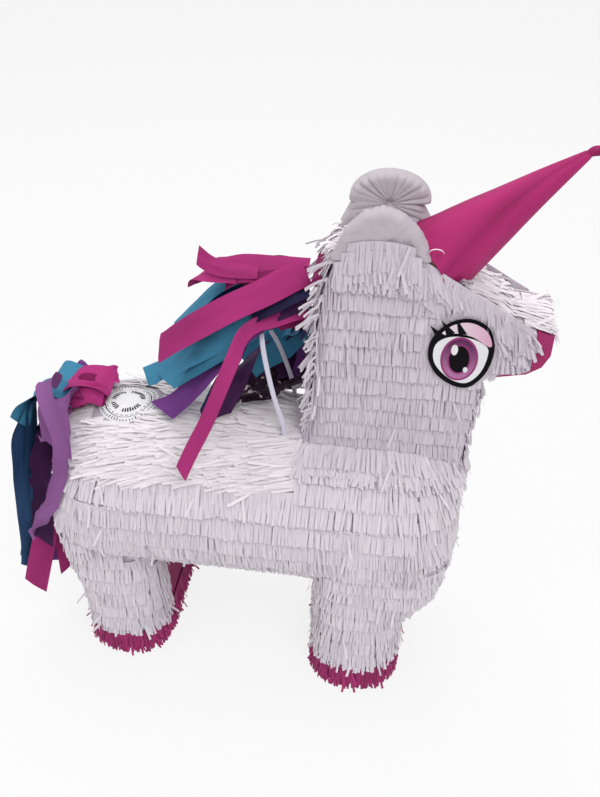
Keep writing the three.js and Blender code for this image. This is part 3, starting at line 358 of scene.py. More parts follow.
class Fringe:
    """Strands of tissue gathered into one mesh."""

    def __init__(self, seed, tree, keep=None, cap=None, glue=GLUE_LIFT):
        self.rng = random.Random(seed)
        self.tree, self.keep, self.cap, self.glue = tree, keep, cap, glue
        self.vertices, self.faces, self.tone_and_shade = [], [], []

    def strand(self, path, across, width, shade, comb):
        """A cut strip along a path, a little folded along its middle."""
        start = len(self.vertices)
        fold = self.rng.uniform(-0.5, 1) * comb.fold * width
        twist = self.rng.gauss(0, comb.twist)
        last = len(path) - 1
        for i, (point, normal) in enumerate(path):
            share = i / last
            along = (path[min(i + 1, last)][0] - path[max(i - 1, 0)][0]).normalized()
            turn = Matrix.Rotation(twist * share, 3, along)
            side = (turn @ across) * (width / 2)
            up = turn @ normal
            self.vertices += [point - side, point + up * fold * (0.4 + share), point + side]
            # Painted shade: each strand is drawn darker towards its glued root, under the row above.
            self.tone_and_shade += [shade * (0.84 + 0.16 * share)] * 3
            if i:
                a = start + 3 * i
                self.faces += [(a - 3, a - 2, a + 1, a), (a - 2, a - 1, a + 2, a + 1)]

    def path(self, base, normal, heading, length, lift, follow):
        """Partly along the surface, partly straight on from where the strand is glued."""
        point = base.copy()
        tangent = (heading - normal * heading.dot(normal)).normalized()
        first = tangent.copy()
        path = []
        for i in range(STRAND_STEPS + 1):
            share = i / STRAND_STEPS
            if i:
                hit, side, _, _ = self.tree.find_nearest(point + tangent * (length / STRAND_STEPS))
                normal = (normal * NORMAL_KEPT + outward(side, normal) * NORMAL_TAKEN).normalized()
                point = hit
                turned = heading - normal * heading.dot(normal)
                tangent = turned.normalized() if turned.length > LEAST_TURN else first
            straight = base + first * (length * share)
            place = point.lerp(straight, 1 - follow) if (straight - point).dot(normal) > 0 else point
            height = self.glue + lift(share)
            if self.cap is not None:
                height = self.cap(place, height)
            path.append((place + normal * height, normal.copy()))
        return path

    def row(self, points, heading, comb):
        """Strands side by side along a row of (point, normal)."""
        rng = self.rng
        lengths = [0.0]
        for (a, _), (b, _) in zip(points, points[1:]):
            lengths.append(lengths[-1] + (b - a).length)
        count = int(lengths[-1] / comb.width)
        if count < 2:
            return
        for ply in range(PLIES):
            leans, lifts, cuts, shades = (noise_line(rng, count, spacing) for spacing in NOISE_SPACINGS)
            k = 0
            for i in range(count):
                at = (i + 0.5 + rng.uniform(-PLACE_SPREAD, PLACE_SPREAD) + 0.5 * ply) * comb.width
                while k + 2 < len(lengths) and lengths[k + 1] < at:
                    k += 1
                part = clamped((at - lengths[k]) / max(1e-9, lengths[k + 1] - lengths[k]))
                base = points[k][0].lerp(points[k + 1][0], part)
                normal = points[k][1].lerp(points[k + 1][1], part).normalized()
                if self.keep is not None and not self.keep(base + normal * GLUE_LIFT):
                    continue
                along = (points[k + 1][0] - points[k][0]).normalized()
                down = heading(base, normal) + along * (comb.wave * leans[i] + rng.gauss(0, comb.lean))
                rise = comb.lift * (1 + LIFT_WAVE * lifts[i] + LIFT_SPREAD * rng.gauss(0, 1)) + ply * PLY_STEP
                curl = rng.gauss(0, CURL_SPREAD)
                # Painted shade: each strand's shade wanders along the row and from strand to strand, and a
                # stray is painted lighter where it lifts into the light.
                shade = SHADE + SHADE_WAVE * shades[i] + SHADE_SPREAD * rng.gauss(0, 1)
                if rng.random() < comb.stray:
                    rise += rng.uniform(*STRAY_RISE)
                    curl += rng.gauss(0, STRAY_CURL)
                    down += along * rng.gauss(0, STRAY_TURN)
                    shade += STRAY_PAINTED_LIGHT
                ragged = 1 + comb.ragged * (cuts[i] + rng.uniform(-1, 1))
                length = comb.length * ragged * (1 - PLY_SHORTER * ply)
                path = self.path(base, normal, down.normalized(), length,
                                 lambda share: rise * share ** 1.5 + curl * math.sin(share * math.pi * 1.5),
                                 comb.follow)
                across = (path[1][0] - path[0][0]).cross(path[0][1]).normalized()
                self.strand(path, across, comb.width * rng.uniform(LEAST_WIDTH, 1.0), clamped(shade), comb)

    def ring(self, tree, x, height, heading, comb):
        """Rows where a level plane cuts the part."""
        for part in ring_points(tree, x, height):
            self.row(part, heading, comb)

    def across(self, tree, x, half, heading, comb):
        """Rows across the part at one place along it."""
        for part in across_points(tree, x, half):
            self.row(part, heading, comb)

    def made(self, name, mat, body="pinata"):
        clear = [(v.x, v.y, max(v.z, FLOOR_CLEAR)) for v in self.vertices]
        return mesh_object(name, clear, self.faces, mat, body, smooth=False, tone_and_shade=self.tone_and_shade)


SMOOTH_SPREAD = 3
SURFACE_JUMP = 0.012
RING_REACH = 0.4
RING_STEPS = 720
ACROSS_STEPS = 60
ABOVE = 0.7


def smoothed(points):
    """The same points with their normals averaged over their neighbours."""
    done = []
    for i, (point, _) in enumerate(points):
        total = Vector((0, 0, 0))
        for _, normal in points[max(0, i - SMOOTH_SPREAD):i + SMOOTH_SPREAD + 1]:
            total += normal
        done.append((point, total.normalized()))
    return done


def runs(points, jump=SURFACE_JUMP):
    """The points split where they jump from one surface to another."""
    parts = []
    for point in points:
        if not parts or (point[0] - parts[-1][-1][0]).length > jump:
            parts.append([])
        parts[-1].append(point)
    return [part for part in parts if len(part) > 1]


def ring_points(tree, x, height, reach=RING_REACH, jump=SURFACE_JUMP):
    """Runs of points round the part where a level plane cuts it, found from outside."""
    points = []
    for i in range(RING_STEPS + 1):
        angle = 2 * math.pi * i / RING_STEPS
        out = Vector((math.cos(angle), math.sin(angle), 0))
        hit, normal, _, _ = tree.ray_cast(Vector((x, 0, height)) + out * reach, -out)
        if hit is not None:
            points.append((hit, outward(normal, out)))
    return runs(smoothed(points), jump)


def across_points(tree, x, half):
    """Points across the part at one place along it, found from above."""
    points = []
    for i in range(ACROSS_STEPS + 1):
        y = half * (2 * i / ACROSS_STEPS - 1)
        hit, normal, _, _ = tree.ray_cast(Vector((x, y, ABOVE)), -UP)
        if hit is not None:
            points.append((hit, outward(normal, UP)))
    return runs(smoothed(points))


def near_nodes(*names, reach=0.0032):
    """Tells whether a point lies at the skin of those CAD nodes."""
    tree = tree_of(*names)
    return lambda point: tree.find_nearest(point, reach)[0] is not None


BODY_CARDS = ["barrel_shell", "rump_cap", "chest_cap"]
HEAD_CARDS = ["head_panel_right", "head_panel_left", "nape_board", "bridge_board", "muzzle_board",
              "throat_board", "jaw_board", "poll_board"]
LEG_CARDS = ["front_leg_sleeve", "rear_leg_sleeve"]
all_cards = tree_of(*BODY_CARDS, *HEAD_CARDS, *LEG_CARDS)
body_tree = tree_of(*BODY_CARDS)
head_tree = tree_of(*HEAD_CARDS)

DOWN = Comb()
FLANK = Comb(length=0.0295)
LEG = Comb(length=0.0275, lift=0.002, lean=0.03)
LEG_END = Comb(0.0165, lift=0.0035, lean=0.08, wave=0.12, twist=0.2, stray=0.05, ragged=0.16)
SHAGGY = Comb(0.0305, lift=0.003, lean=0.05, wave=0.09, twist=0.14, stray=0.04, follow=0.75, ragged=0.06)
SHOULDER = Comb(0.033, lift=0.001, lean=0.03, wave=0.06, follow=0.9, ragged=0.05)
BACK = Comb(0.036, lift=0.0018, lean=0.06, wave=0.13, twist=0.12, stray=0.03, follow=0.92, ragged=0.12)
NAPE = Comb(0.03, 0.0022, 0.0035, lean=0.09, wave=0.16, twist=0.15, stray=0.06, follow=0.5, ragged=0.16)
BROW = Comb(0.025, lift=0.0026, lean=0.05, wave=0.08, twist=0.1, stray=0.02, follow=0.9, ragged=0.06)
EAR_FOOT = Comb(0.027, lift=0.0014, lean=0.03, wave=0.06, twist=0.08, stray=0.006, follow=0.1, ragged=0.08)
POLL = Comb(0.02, lift=0.002, lean=0.1, stray=0.05)
BRIDGE = Comb(0.026, 0.0042, 0.0012, lean=0.05, wave=0.12, twist=0.05, stray=0.05, follow=0.97, ragged=0.14,
              fold=0.04)
HOOF = Comb(0.021, lift=0.0026, lean=0.06, wave=0.12, twist=0.3, stray=0.015, follow=0.9, ragged=0.08,
            fold=0.35)


def straight_down(point, normal):
    return -UP


def under_eye(point, height):
    """Strands lie flat where the printed eye is stuck over them."""
    x = (point.x - EYE_CENTRE.x) / (EYE_LENGTH / 2 + EYE_MARGIN)
    z = (point.z - EYE_CENTRE.z) / (EYE_HEIGHT / 2 + EYE_MARGIN)
    if abs(point.y) > HEAD_HALF * HEAD_EDGE and x * x + z * z < 1:
        return min(height, EYE_CLEAR)
    return height


BODY_ROW_ANGLES = (-58, 64)
NECK_ROOT_X = 0.05
NECK_ROOT_ANGLES = (68, 71)
THROAT_BACK = 0.07
THROAT_ROOT_HEIGHTS = (0.262, 0.268, 0.273)


def barrel_height(angle):
    return BARREL_AXIS + BARREL_RADIUS * math.sin(angle)


def dress_body():
    """Level rows round the barrel, from under the back's strands to the belly's edge."""
    keep = near_nodes("flank_fringe_right", "flank_fringe_left", "rump_fringe", "chest_fringe")
    fringe = Fringe(11, all_cards, keep)
    bottom, top = (math.radians(angle) for angle in BODY_ROW_ANGLES)
    rows = round((top - bottom) * BARREL_RADIUS / FLANK_PITCH)
    for row in range(rows):
        height = barrel_height(bottom + (top - bottom) * (row + 1) / rows)
        fringe.ring(body_tree, 0, height, straight_down, SHAGGY if row == rows - 1 else FLANK)
    fringe.keep = lambda p: p.x > NECK_ROOT_X and abs(p.y) > HEAD_HALF * HEAD_EDGE
    for angle in NECK_ROOT_ANGLES:
        fringe.ring(body_tree, 0, barrel_height(math.radians(angle)), straight_down, FLANK)
    fringe.keep = lambda p: p.x > panel_high[0] - THROAT_BACK
    for height in THROAT_ROOT_HEIGHTS:
        fringe.ring(body_tree, 0, height, straight_down, SHAGGY)
    fringe.made("body_strands", tissue)


HOOF_ROWS = (0.031, 0.0265, 0.0215)
LEG_SKIN_REACH = 0.009
LEG_ROW_DROP = 0.002
SHOULDER_RISE = 0.03
SHOULDER_DROP = 0.014
SHOULDER_STAND = 0.002
SHOULDER_SWEEP = 117
SHOULDER_STEPS = 160
SHOULDER_ROWS = 6
SHOULDER_ROW_SHARES = (-0.32, -0.14, 0.15, 0.45, 0.8)
GLUE_SEAT = 0.0008


def dress_leg(name, seed):
    low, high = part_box(f"{name}_hoof_sole")
    x = (low[0] + high[0]) / 2
    sleeve = tree_of(f"{name}_leg_sleeve")
    fringe = Fringe(seed, all_cards, near_nodes(f"{name}_leg_fringe", reach=LEG_SKIN_REACH))
    rows = round((LEG_TOP - HOOF_TOP) / ROW_PITCH)
    for row in range(rows):
        height = HOOF_TOP + (LEG_TOP - HOOF_TOP) * (row + 1) / rows - LEG_ROW_DROP
        fringe.ring(sleeve, x, height, straight_down, LEG_END if row == 0 else LEG)
    fringe.made(f"{name}_leg_strands", tissue)
    dress_shoulder(name, x, sleeve, seed + 2)

    foot = tree_of(f"{name}_leg_sleeve", f"{name}_hoof_sole")
    hoof = Fringe(seed + 1, foot)
    for height in HOOF_ROWS:
        hoof.ring(foot, x, height, straight_down, HOOF)
    hoof.made(f"{name}_hoof_strands", hoof_tissue)


def dress_shoulder(name, x, sleeve, seed):
    """Tissue that bridges from the body's curve to the top of a leg, round the leg's outer side."""
    facing = 1 if name == "front" else -1
    columns = []
    for i in range(SHOULDER_STEPS + 1):
        angle = math.radians(SHOULDER_SWEEP) * (2 * i / SHOULDER_STEPS - 1)
        out = Vector((facing * math.cos(angle), math.sin(angle), 0))
        ends = []
        for tree, height in ((body_tree, LEG_TOP + SHOULDER_RISE), (sleeve, LEG_TOP - SHOULDER_DROP)):
            origin = Vector((x, 0, height))
            hit, _, _, _ = tree.ray_cast(origin + out * RING_REACH, -out)
            ends.append((origin, (hit - origin).dot(out) if hit is not None else 0))
        reach = max(ends[0][1], ends[1][1])
        columns.append((ends[0][0] + out * ends[0][1], ends[1][0] + out * (reach + SHOULDER_STAND), out))
    vertices = []
    for k in range(SHOULDER_ROWS + 1):
        share = k / SHOULDER_ROWS
        vertices += [upper.lerp(lower, share) + out * GLUE_SEAT for upper, lower, out in columns]
    faces = grid_faces(SHOULDER_ROWS + 1, SHOULDER_STEPS + 1)
    made = mesh_object(f"{name}_shoulder_tissue", vertices, faces, under_tissue_painted_shade)
    fringe = Fringe(seed, tree_of(f"{name}_leg_sleeve", extra=(vertices, faces)))
    for share in SHOULDER_ROW_SHARES:
        points = [(upper.lerp(lower, share) + out * GLUE_SEAT, out) for upper, lower, out in columns]
        fringe.row(points, straight_down, SHOULDER)
    fringe.made(f"{name}_shoulder_strands", tissue)


MUZZLE_EDGE = (0.216, 0.374)
MUZZLE_SLOPE = 0.78
MUZZLE_MARGIN = 0.017
BROW_LINE = (0.126, 0.471)
BROW_FALL = -0.6
BROW_ROWS = (0.0005, 0.0075, 0.0175)
BROW_BACK = 0.004
BROW_STEPS = 40
NAPE_FAN = (0.34, 0.44)
HEAD_REACH = 0.3
HEAD_JUMP = 0.02
HEAD_TRIM = 0.001
SKIN_REACH = 0.004
SIDE_REACH = 0.0045
SIDE_FACING = 0.7
MUZZLE_LEAN = 0.9
EAR_ROW_HEIGHTS = (0.4625, 0.4705, 0.479)
EAR_ROW_STEPS = 30
EAR_ROW_SAG = 0.004
POLL_ROWS = 6
POLL_REACH = 0.8
BACK_REACH = 0.84
BRIDGE_REACH = 1.05
BRIDGE_PITCH = ROW_PITCH * 0.55


def on_muzzle(point, below):
    """Tells whether a point that far below this one lies on the plain end of the muzzle."""
    edge = MUZZLE_EDGE[0] + (point.z - below - MUZZLE_EDGE[1]) * MUZZLE_SLOPE
    return point.z > MUZZLE_EDGE[1] and point.x > edge


def dress_head():
    """Level rows round the neck and head. They fan out at the nape and lean forward on the muzzle."""
    near_sides = near_nodes("neck_fringe_right", "neck_fringe_left", "throat_fringe", reach=SIDE_REACH)
    sides = Fringe(31, all_cards, lambda p: near_sides(p) and not on_muzzle(p, MUZZLE_MARGIN), under_eye)
    nape = Fringe(33, all_cards, near_nodes("nape_fringe", reach=SKIN_REACH))
    base_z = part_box("neck_fringe_right")[0][2]
    muzzle_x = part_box("bridge_fringe")[1][0]
    brow_x = EYE_CENTRE.x + EYE_LENGTH * 0.6
    middle = (panel_low[0] + panel_high[0]) / 2

    def heading(point, normal):
        if point.x > brow_x and abs(normal.y) > SIDE_FACING:
            return Vector((MUZZLE_LEAN * min(1, (point.x - brow_x) / (muzzle_x - brow_x)), 0, -1))
        return -UP

    def fanned(point, normal):
        high = clamped((point.z - NAPE_FAN[0]) / (NAPE_FAN[1] - NAPE_FAN[0]))
        return Vector((-0.3 - 0.75 * high, 0.02 * math.copysign(1, point.y), -1 + 0.6 * high))

    rows = round((FRINGE_TOP - base_z) / HEAD_PITCH)
    for row in range(rows + 1):
        height = base_z + (FRINGE_TOP - base_z) * (row + 1) / rows - HEAD_TRIM
        for part in ring_points(head_tree, middle, height, HEAD_REACH, HEAD_JUMP):
            sides.row(part, heading, DOWN)
            nape.row(part, fanned, NAPE)
    sides.keep = lambda p: not on_muzzle(p, MUZZLE_MARGIN)
    for drop in BROW_ROWS:
        for side in (-1, 1):
            points = []
            for i in range(BROW_STEPS + 1):
                x = BROW_LINE[0] - BROW_BACK + (muzzle_x - BROW_LINE[0]) * i / BROW_STEPS
                z = BROW_LINE[1] + BROW_FALL * (x - BROW_LINE[0]) - drop
                points.append((Vector((x, side * HEAD_HALF, z)), Vector((0, side, 0))))
            sides.row(points, lambda p, n: Vector((0.4, 0, -1)), BROW)
    sides.made("head_strands", head_tissue_painted_shade)
    nape.made("nape_strands", tissue)


def dress_ear_foot(side, name):
    """Rows over the foot of an ear, on both faces of its panel."""
    low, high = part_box(name)
    outer, inner = (low[1], high[1]) if side < 0 else (high[1], low[1])
    foot = Fringe(36 + side, all_cards, glue=GLUE_SEAT)
    for height in EAR_ROW_HEIGHTS:
        trim = 0.001 + (height - low[2]) * 0.65
        start, end = low[0] + trim, high[0] - trim
        for y, way in ((outer, side), (inner, -side)):
            points = []
            for i in range(EAR_ROW_STEPS + 1):
                x = start + (end - start) * i / EAR_ROW_STEPS
                z = height - EAR_ROW_SAG * (i / (EAR_ROW_STEPS / 2) - 1) ** 2
                points.append((Vector((x, y, z)), Vector((0, way, 0))))
            foot.row(points, straight_down, EAR_FOOT)
    foot.made(f"{name}_strands", head_tissue_painted_shade)


def dress_poll():
    """Rows across the top of the head, whose strands point to the nape."""
    poll = Fringe(39, head_tree)
    low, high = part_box("poll_board")
    for row in range(POLL_ROWS + 1):
        x = low[0] + (high[0] - low[0]) * row / POLL_ROWS
        poll.across(head_tree, x, HEAD_HALF * POLL_REACH, lambda p, n: Vector((-1, 0, -0.1)), POLL)
    poll.made("poll_strands", top_strands_painted_light)


def dress_back():
    """Rows across the back, whose strands point to the tail and stop short of the sticker."""
    near_back = near_nodes("back_fringe", reach=SKIN_REACH)

    def keep(point):
        for along in (0, 0.4, 0.7, 0.95):
            over = Vector((point.x - BACK.length * along, point.y, 0)) - STICKER_CENTRE
            if over.length < STICKER_RADIUS:
                return False
        return near_back(point)

    fringe = Fringe(41, body_tree, keep)
    low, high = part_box("back_fringe")
    rows = round((high[0] - low[0]) / BACK_PITCH)
    for row in range(rows):
        x = low[0] + (high[0] - low[0]) * (row + 0.95) / rows
        fringe.across(body_tree, x, BARREL_RADIUS * BACK_REACH,
                      lambda p, n: Vector((-1, 0.25 * p.y / BARREL_RADIUS, -0.15)), BACK)
    fringe.made("back_strands", top_strands_painted_light)


def dress_bridge():
    """Broad strips across the bridge of the nose, which point forward and down its sides."""
    fringe = Fringe(51, head_tree, near_nodes("bridge_fringe", reach=SKIN_REACH))
    low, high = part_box("bridge_fringe")
    rows = round((high[0] - low[0]) / BRIDGE_PITCH)
    for row in range(rows + 1):
        x = low[0] + (high[0] - low[0]) * row / rows
        fringe.across(head_tree, x, HEAD_HALF * BRIDGE_REACH,
                      lambda p, n: Vector((1, 0.5 * p.y / HEAD_HALF, -0.6)), BRIDGE)
    fringe.made("bridge_strands", top_strands_painted_light)


TAB_WIDTH = 0.0045
CURL_WIDTH = 0.0016
CURL_SIZE = (0.0055, 0.0035)
CURL_CENTRE = (0.1475, -0.033, 0.4715)


def loose_strips():
    """A paper tab by the loop's far foot, and a curl of tissue at the horn's foot."""
    strips = Fringe(71, head_tree)
    across, facing = Vector((0, 0.8, 0.6)), Vector((0, -0.6, 0.8))
    tab = [Vector((0.032 + 0.018 * i / 4, 0.015, 0.301 + 0.001 * (i % 2))) for i in range(5)]
    strips.strand([(place, facing) for place in tab], across, TAB_WIDTH, 1, DOWN)
    curl = []
    for i in range(13):
        turn = math.radians(200 - 17 * i)
        x, z = math.cos(turn), math.sin(turn)
        place = (CURL_CENTRE[0] + CURL_SIZE[0] * x, CURL_CENTRE[1], CURL_CENTRE[2] + CURL_SIZE[1] * z)
        curl.append((Vector(place), Vector((x, 0, z))))
    strips.strand(curl, Vector((0, 1, 0)), CURL_WIDTH, 1, DOWN)
    strips.made("loose_strips", tissue)


dress_body()
dress_leg("front", 21)
dress_leg("rear", 26)
dress_head()
dress_ear_foot(-1, "ear_wrap_right")
dress_ear_foot(1, "ear_wrap_left")
dress_poll()
dress_back()
dress_bridge()
loose_strips()

# Ears, horn, eyes and sticker

EAR_PLEATS = 24
EAR_COLUMNS = 168
EAR_EDGE = 0.005
EAR_FACE_SHARES = (0, 0.1, 0.22, 0.36, 0.5, 0.64, 0.78, 0.9)
EAR_EDGE_STEPS = 5
EAR_CENTRE_X = 0.109
EAR_LEAST_REACH = 0.015
EAR_DIMPLE = 0.004
EAR_CREASE = 0.003


def ear(side, name, centre_z, crown=None):
    """A tissue puff over the panel's round top, gathered to a point on its inner face.

    crown is the half width and the height of an oval that the upper half fills at least.
    """
    low, high = (Vector(corner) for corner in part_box(name))
    tree = tree_of(name)
    middle_y, half = (low.y + high.y) / 2, (high.y - low.y) / 2
    centre = Vector((EAR_CENTRE_X, middle_y, centre_z))
    flat = 1 - EAR_EDGE / half
    corner = [math.radians(90 * i / EAR_EDGE_STEPS) for i in range(EAR_EDGE_STEPS + 1)]
    # Each ring of the puff: its share of the face, its inset from the rim, and how far out it lies
    rings = [(share, EAR_EDGE, -1) for share in EAR_FACE_SHARES]
    rings += [(1, EAR_EDGE * (1 - math.sin(a)), -flat - (1 - flat) * math.cos(a)) for a in corner]
    rings += [(share, inset, -out) for share, inset, out in reversed(rings)]
    rng = random.Random(61 + side)
    depths = [rng.uniform(0.2, 1.3) for _ in range(EAR_PLEATS)]
    shifts = [rng.uniform(-0.3, 0.3) for _ in range(EAR_PLEATS)]
    vertices = []
    for share, inset, out in rings:
        for c in range(EAR_COLUMNS):
            angle = 2 * math.pi * c / EAR_COLUMNS
            way = Vector((math.cos(angle), 0, math.sin(angle)))
            reach = EAR_LEAST_REACH
            for layer in (-0.75, 0, 0.75):
                seen_from = centre + Vector((0, half * layer, 0))
                hit, _, _, _ = tree.ray_cast(seen_from + way * 0.2, -way, 0.2)
                if hit is not None:
                    reach = max(reach, (hit - seen_from).length)
            if crown and way.z > 0:
                reach = max(reach, 1 / math.hypot(way.x / crown[0], way.z / crown[1]))
            turn = angle / (2 * math.pi) * EAR_PLEATS
            k = int(turn) % EAR_PLEATS
            fold = abs(math.sin(math.pi * (turn + shifts[k] * math.sin(math.pi * (turn % 1)))))
            inner = max(0.0, -out)
            pleat = (1 - fold) ** 1.5 * depths[k] * (0.0013 * inner + 0.00012) * min(1, share * 3)
            dimple = EAR_DIMPLE * max(0.0, 1 - share / 0.22) * inner
            folds = noise.noise(Vector((way.x * share * 2.2, way.z * share * 2.2, side * 4)))
            crease = EAR_CREASE * abs(folds) * max(0, out)
            y = middle_y + side * (half * out + pleat + dimple - crease)
            point = centre + way * ((reach - inset) * share - pleat * 0.6 * (share > 0.85))
            vertices.append((point.x, y, max(point.z, low.z + 0.0005)))
    faces = grid_faces(len(rings), EAR_COLUMNS, closed=True)
    made = mesh_object(f"{name}_puff", vertices, faces, ear_tissue_painted_shade)
    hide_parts(name)


HORN_AXIS = Vector((math.cos(math.radians(42)), 0, math.sin(math.radians(42))))
HORN_BASE = Vector((0.157, 0, 0.459))
HORN_RADIUS = 0.0315
HORN_LENGTH = 0.121
HORN_TIP = 0.0034
HORN_SINK = 0.008
HORN_COLUMNS = 120
HORN_ROWS = 90
NUB_ROWS = 14
NUB_STEP = 0.0009
HORN_SIDE = HORN_AXIS.cross(Vector((0, 1, 0))).normalized()
HORN_ACROSS = HORN_AXIS.cross(HORN_SIDE)


def horn():
    """Crepe wound into a cone: flat folds that turn with it, a crimped foot, and a twisted tip."""
    vertices, tone_and_shade, uv = [], [], []
    angles = [2 * math.pi * c / HORN_COLUMNS for c in range(HORN_COLUMNS)]
    ways = [HORN_SIDE * math.cos(angle) + HORN_ACROSS * math.sin(angle) for angle in angles]
    for r in range(HORN_ROWS + 1):
        share = r / HORN_ROWS
        for angle, way in zip(angles, ways):
            turned = angle + 1.1 * share
            facet = abs(math.sin(turned * 1.5 + 0.6)) ** 0.6
            soft = noise.noise(Vector((math.cos(turned) * 1.6, math.sin(turned) * 1.6, share * 2.4)))
            crimp = max(0, 1 - share / 0.16) * math.sin(angle * 17 + 3 * soft)
            radius = HORN_RADIUS * (1 - share) + HORN_TIP * share
            radius *= 1 + 0.035 * (facet - 0.7) + 0.05 * soft
            radius += 0.0007 * crimp
            foot = 0.0022 * math.sin(angle * 5 + 1) * max(0, 1 - share * 6)
            along = -HORN_SINK + (HORN_LENGTH + HORN_SINK) * share + foot
            vertices.append(HORN_BASE + HORN_AXIS * along + way * radius)
            # Painted shade: the horn is drawn lighter on the facets and bumps that stand out, and darker
            # between them.
            tone_and_shade.append(clamped(0.62 + 0.5 * (facet - 0.6) + 0.3 * soft))
            uv.append((angle / (2 * math.pi), share))
    # The crepe's twisted end, which leans forward off the tip
    end = HORN_BASE + HORN_AXIS * HORN_LENGTH
    for r in range(1, NUB_ROWS + 1):
        share = r / NUB_ROWS
        bend = HORN_AXIS.lerp(Vector((1, 0, 0.1)), min(1, share * 1.4)).normalized()
        end = end + bend * NUB_STEP
        radius = HORN_TIP * (0.75 + 0.5 * share)
        for angle, way in zip(angles, ways):
            ridge = 1 + 0.22 * math.sin(angle * 4 + share * 7)
            vertices.append(end + way * (radius * ridge * (1 if r < NUB_ROWS else 0.1)))
            tone_and_shade.append(0.35)
            uv.append((angle / (2 * math.pi), 1 + share * 0.1))
    faces = grid_faces(HORN_ROWS + NUB_ROWS + 1, HORN_COLUMNS, closed=True)
    made = mesh_object("horn_crepe_wrap", vertices, faces, horn_crepe, tone_and_shade=tone_and_shade, uv=uv)
    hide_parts("horn_wrap")


HORN_FOOT_ROWS = (-0.003, 0.002)
HORN_FOOT_SWEEP = 62
HORN_FOOT_STEPS = 60
HORN_FOOT = Comb(0.015, lift=0.001, lean=0.05, wave=0.12, twist=0.1, stray=0.02, follow=0.85, ragged=0.12)


def horn_foot():
    """Strands glued round the horn's foot, which lie over its hem."""
    fringe = Fringe(75, tree_of("horn_wrap", *HEAD_CARDS), glue=GLUE_SEAT)
    for along in HORN_FOOT_ROWS:
        points = []
        for i in range(HORN_FOOT_STEPS + 1):
            angle = math.radians(HORN_FOOT_SWEEP * (i / (HORN_FOOT_STEPS / 2) - 1))
            way = HORN_ACROSS * math.sin(angle) - HORN_SIDE * math.cos(angle)
            radius = HORN_RADIUS * (1 - along / HORN_LENGTH) * 1.02
            points.append((HORN_BASE + HORN_AXIS * along + way * radius, way))
        fringe.row(points, lambda p, n: n * 0.8 + Vector((0.5, 0, -0.8)), HORN_FOOT)
    fringe.made("horn_foot_strands", top_strands_painted_light)


def smooth_outline(points, steps=8):
    """A closed Catmull-Rom curve through the points of an outline."""
    count = len(points)
    outline = []
    for i in range(count):
        a, b, c, d = (Vector((*points[(i + k - 1) % count], 0)) for k in range(4))
        for s in range(steps):
            t = s / steps
            square, cube = a * 2 - b * 5 + c * 4 - d, b * 3 - a - c * 3 + d
            curve = b * 2 + (c - a) * t + square * t ** 2 + cube * t ** 3
            outline.append((curve.x / 2, curve.y / 2))
    return outline


def oval(x, z, half_x, half_z, count=48):
    angles = [2 * math.pi * i / count for i in range(count)]
    return [(x + half_x * math.cos(a), z + half_z * math.sin(a)) for a in angles]


# The printed eye, in shares of its half length and half height, seen from the part's right
EYE_OUTLINE_SHARES = [(-0.94, 0.16), (-0.9, -0.26), (-0.62, -0.66), (-0.1, -0.94), (0.4, -0.95),
                      (0.82, -0.55), (0.99, -0.02), (0.95, 0.4), (0.72, 0.78), (0.2, 0.97), (-0.34, 0.86),
                      (-0.74, 0.55)]
EYE_WHITE_SHARES = [(-0.78, 0.1), (-0.75, -0.26), (-0.5, -0.56), (-0.08, -0.8), (0.34, -0.82), (0.68, -0.5),
                    (0.82, -0.04), (0.76, 0.24), (0.35, 0.42), (-0.2, 0.46), (-0.6, 0.34)]
EYE_LID_SHARES = [(-0.62, 0.5), (-0.2, 0.56), (0.3, 0.5), (0.84, 0.26), (0.86, 0.44), (0.64, 0.72),
                  (0.18, 0.88), (-0.3, 0.78)]
EYE_LASHES_SHARES = [
    [(-0.72, 0.36), (-0.98, 0.74), (-0.52, 0.5)],
    [(-0.46, 0.5), (-0.66, 0.9), (-0.22, 0.58)],
    [(-0.12, 0.56), (-0.24, 0.98), (0.14, 0.56)],
]
PRINT_STEP = 0.00012


def eye(side, name):
    """A printed eye, one layer for each colour. The lowest layer takes the CAD decal's place."""
    low, high = (Vector(corner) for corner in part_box(name))
    centre = (low + high) / 2
    half_x, half_z = EYE_LENGTH / 2, EYE_HEIGHT / 2
    face_y = low.y if side < 0 else high.y
    layers = []

    def layer(outline, mat, tint_of=None):
        """One printed colour, a hair above the one before."""
        y = face_y + side * PRINT_STEP * (len(layers) + 1)
        vertices = [(centre.x + u * half_x, y, centre.z + v * half_z) for u, v in outline]
        middle = (sum(u for u, _ in outline) / len(outline), sum(v for _, v in outline) / len(outline))
        vertices.append((centre.x + middle[0] * half_x, y, centre.z + middle[1] * half_z))
        last = len(outline)
        faces = [(i, (i + 1) % last, last) for i in range(last)]
        tone_and_shade = [tint_of(u, v) for u, v in [*outline, middle]] if tint_of else None
        piece_name = f"{name}_print_{len(layers)}"
        layers.append(mesh_object(piece_name, vertices, faces, mat, smooth=False, tone_and_shade=tone_and_shade))

    layer(smooth_outline(EYE_OUTLINE_SHARES), print_black)
    layer(smooth_outline(EYE_WHITE_SHARES), print_white)
    layer(oval(0.0, -0.16, 0.56, 0.62), print_rim)
    layer(oval(0.0, -0.16, 0.5, 0.56), print_iris, lambda u, v: clamped(0.3 - v * 1.1))
    layer(oval(0.0, -0.16, 0.35, 0.42), print_rim)
    layer(oval(0.0, -0.16, 0.3, 0.38), print_black)
    layer(oval(-0.17, 0.1, 0.1, 0.15), print_white)
    layer(oval(0.22, -0.44, 0.07, 0.08), print_white)
    layer(smooth_outline(EYE_LID_SHARES), print_lid, lambda u, v: clamped(0.75 - u * 0.5))
    for lash in EYE_LASHES_SHARES:
        layer(lash, print_black)
    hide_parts(name)


CUT_RADIUS = 0.0198
CUT_WIDTH = 0.0005
CUT_DASHES = 26
TICK_RADII = (0.0243, 0.0262)
BAR_RADII = (0.0122, 0.0158)
LONGER = 0.0012
TICKS = 54
BAR_GROUPS = ((12, 9), (118, 7), (204, 4), (262, 8))


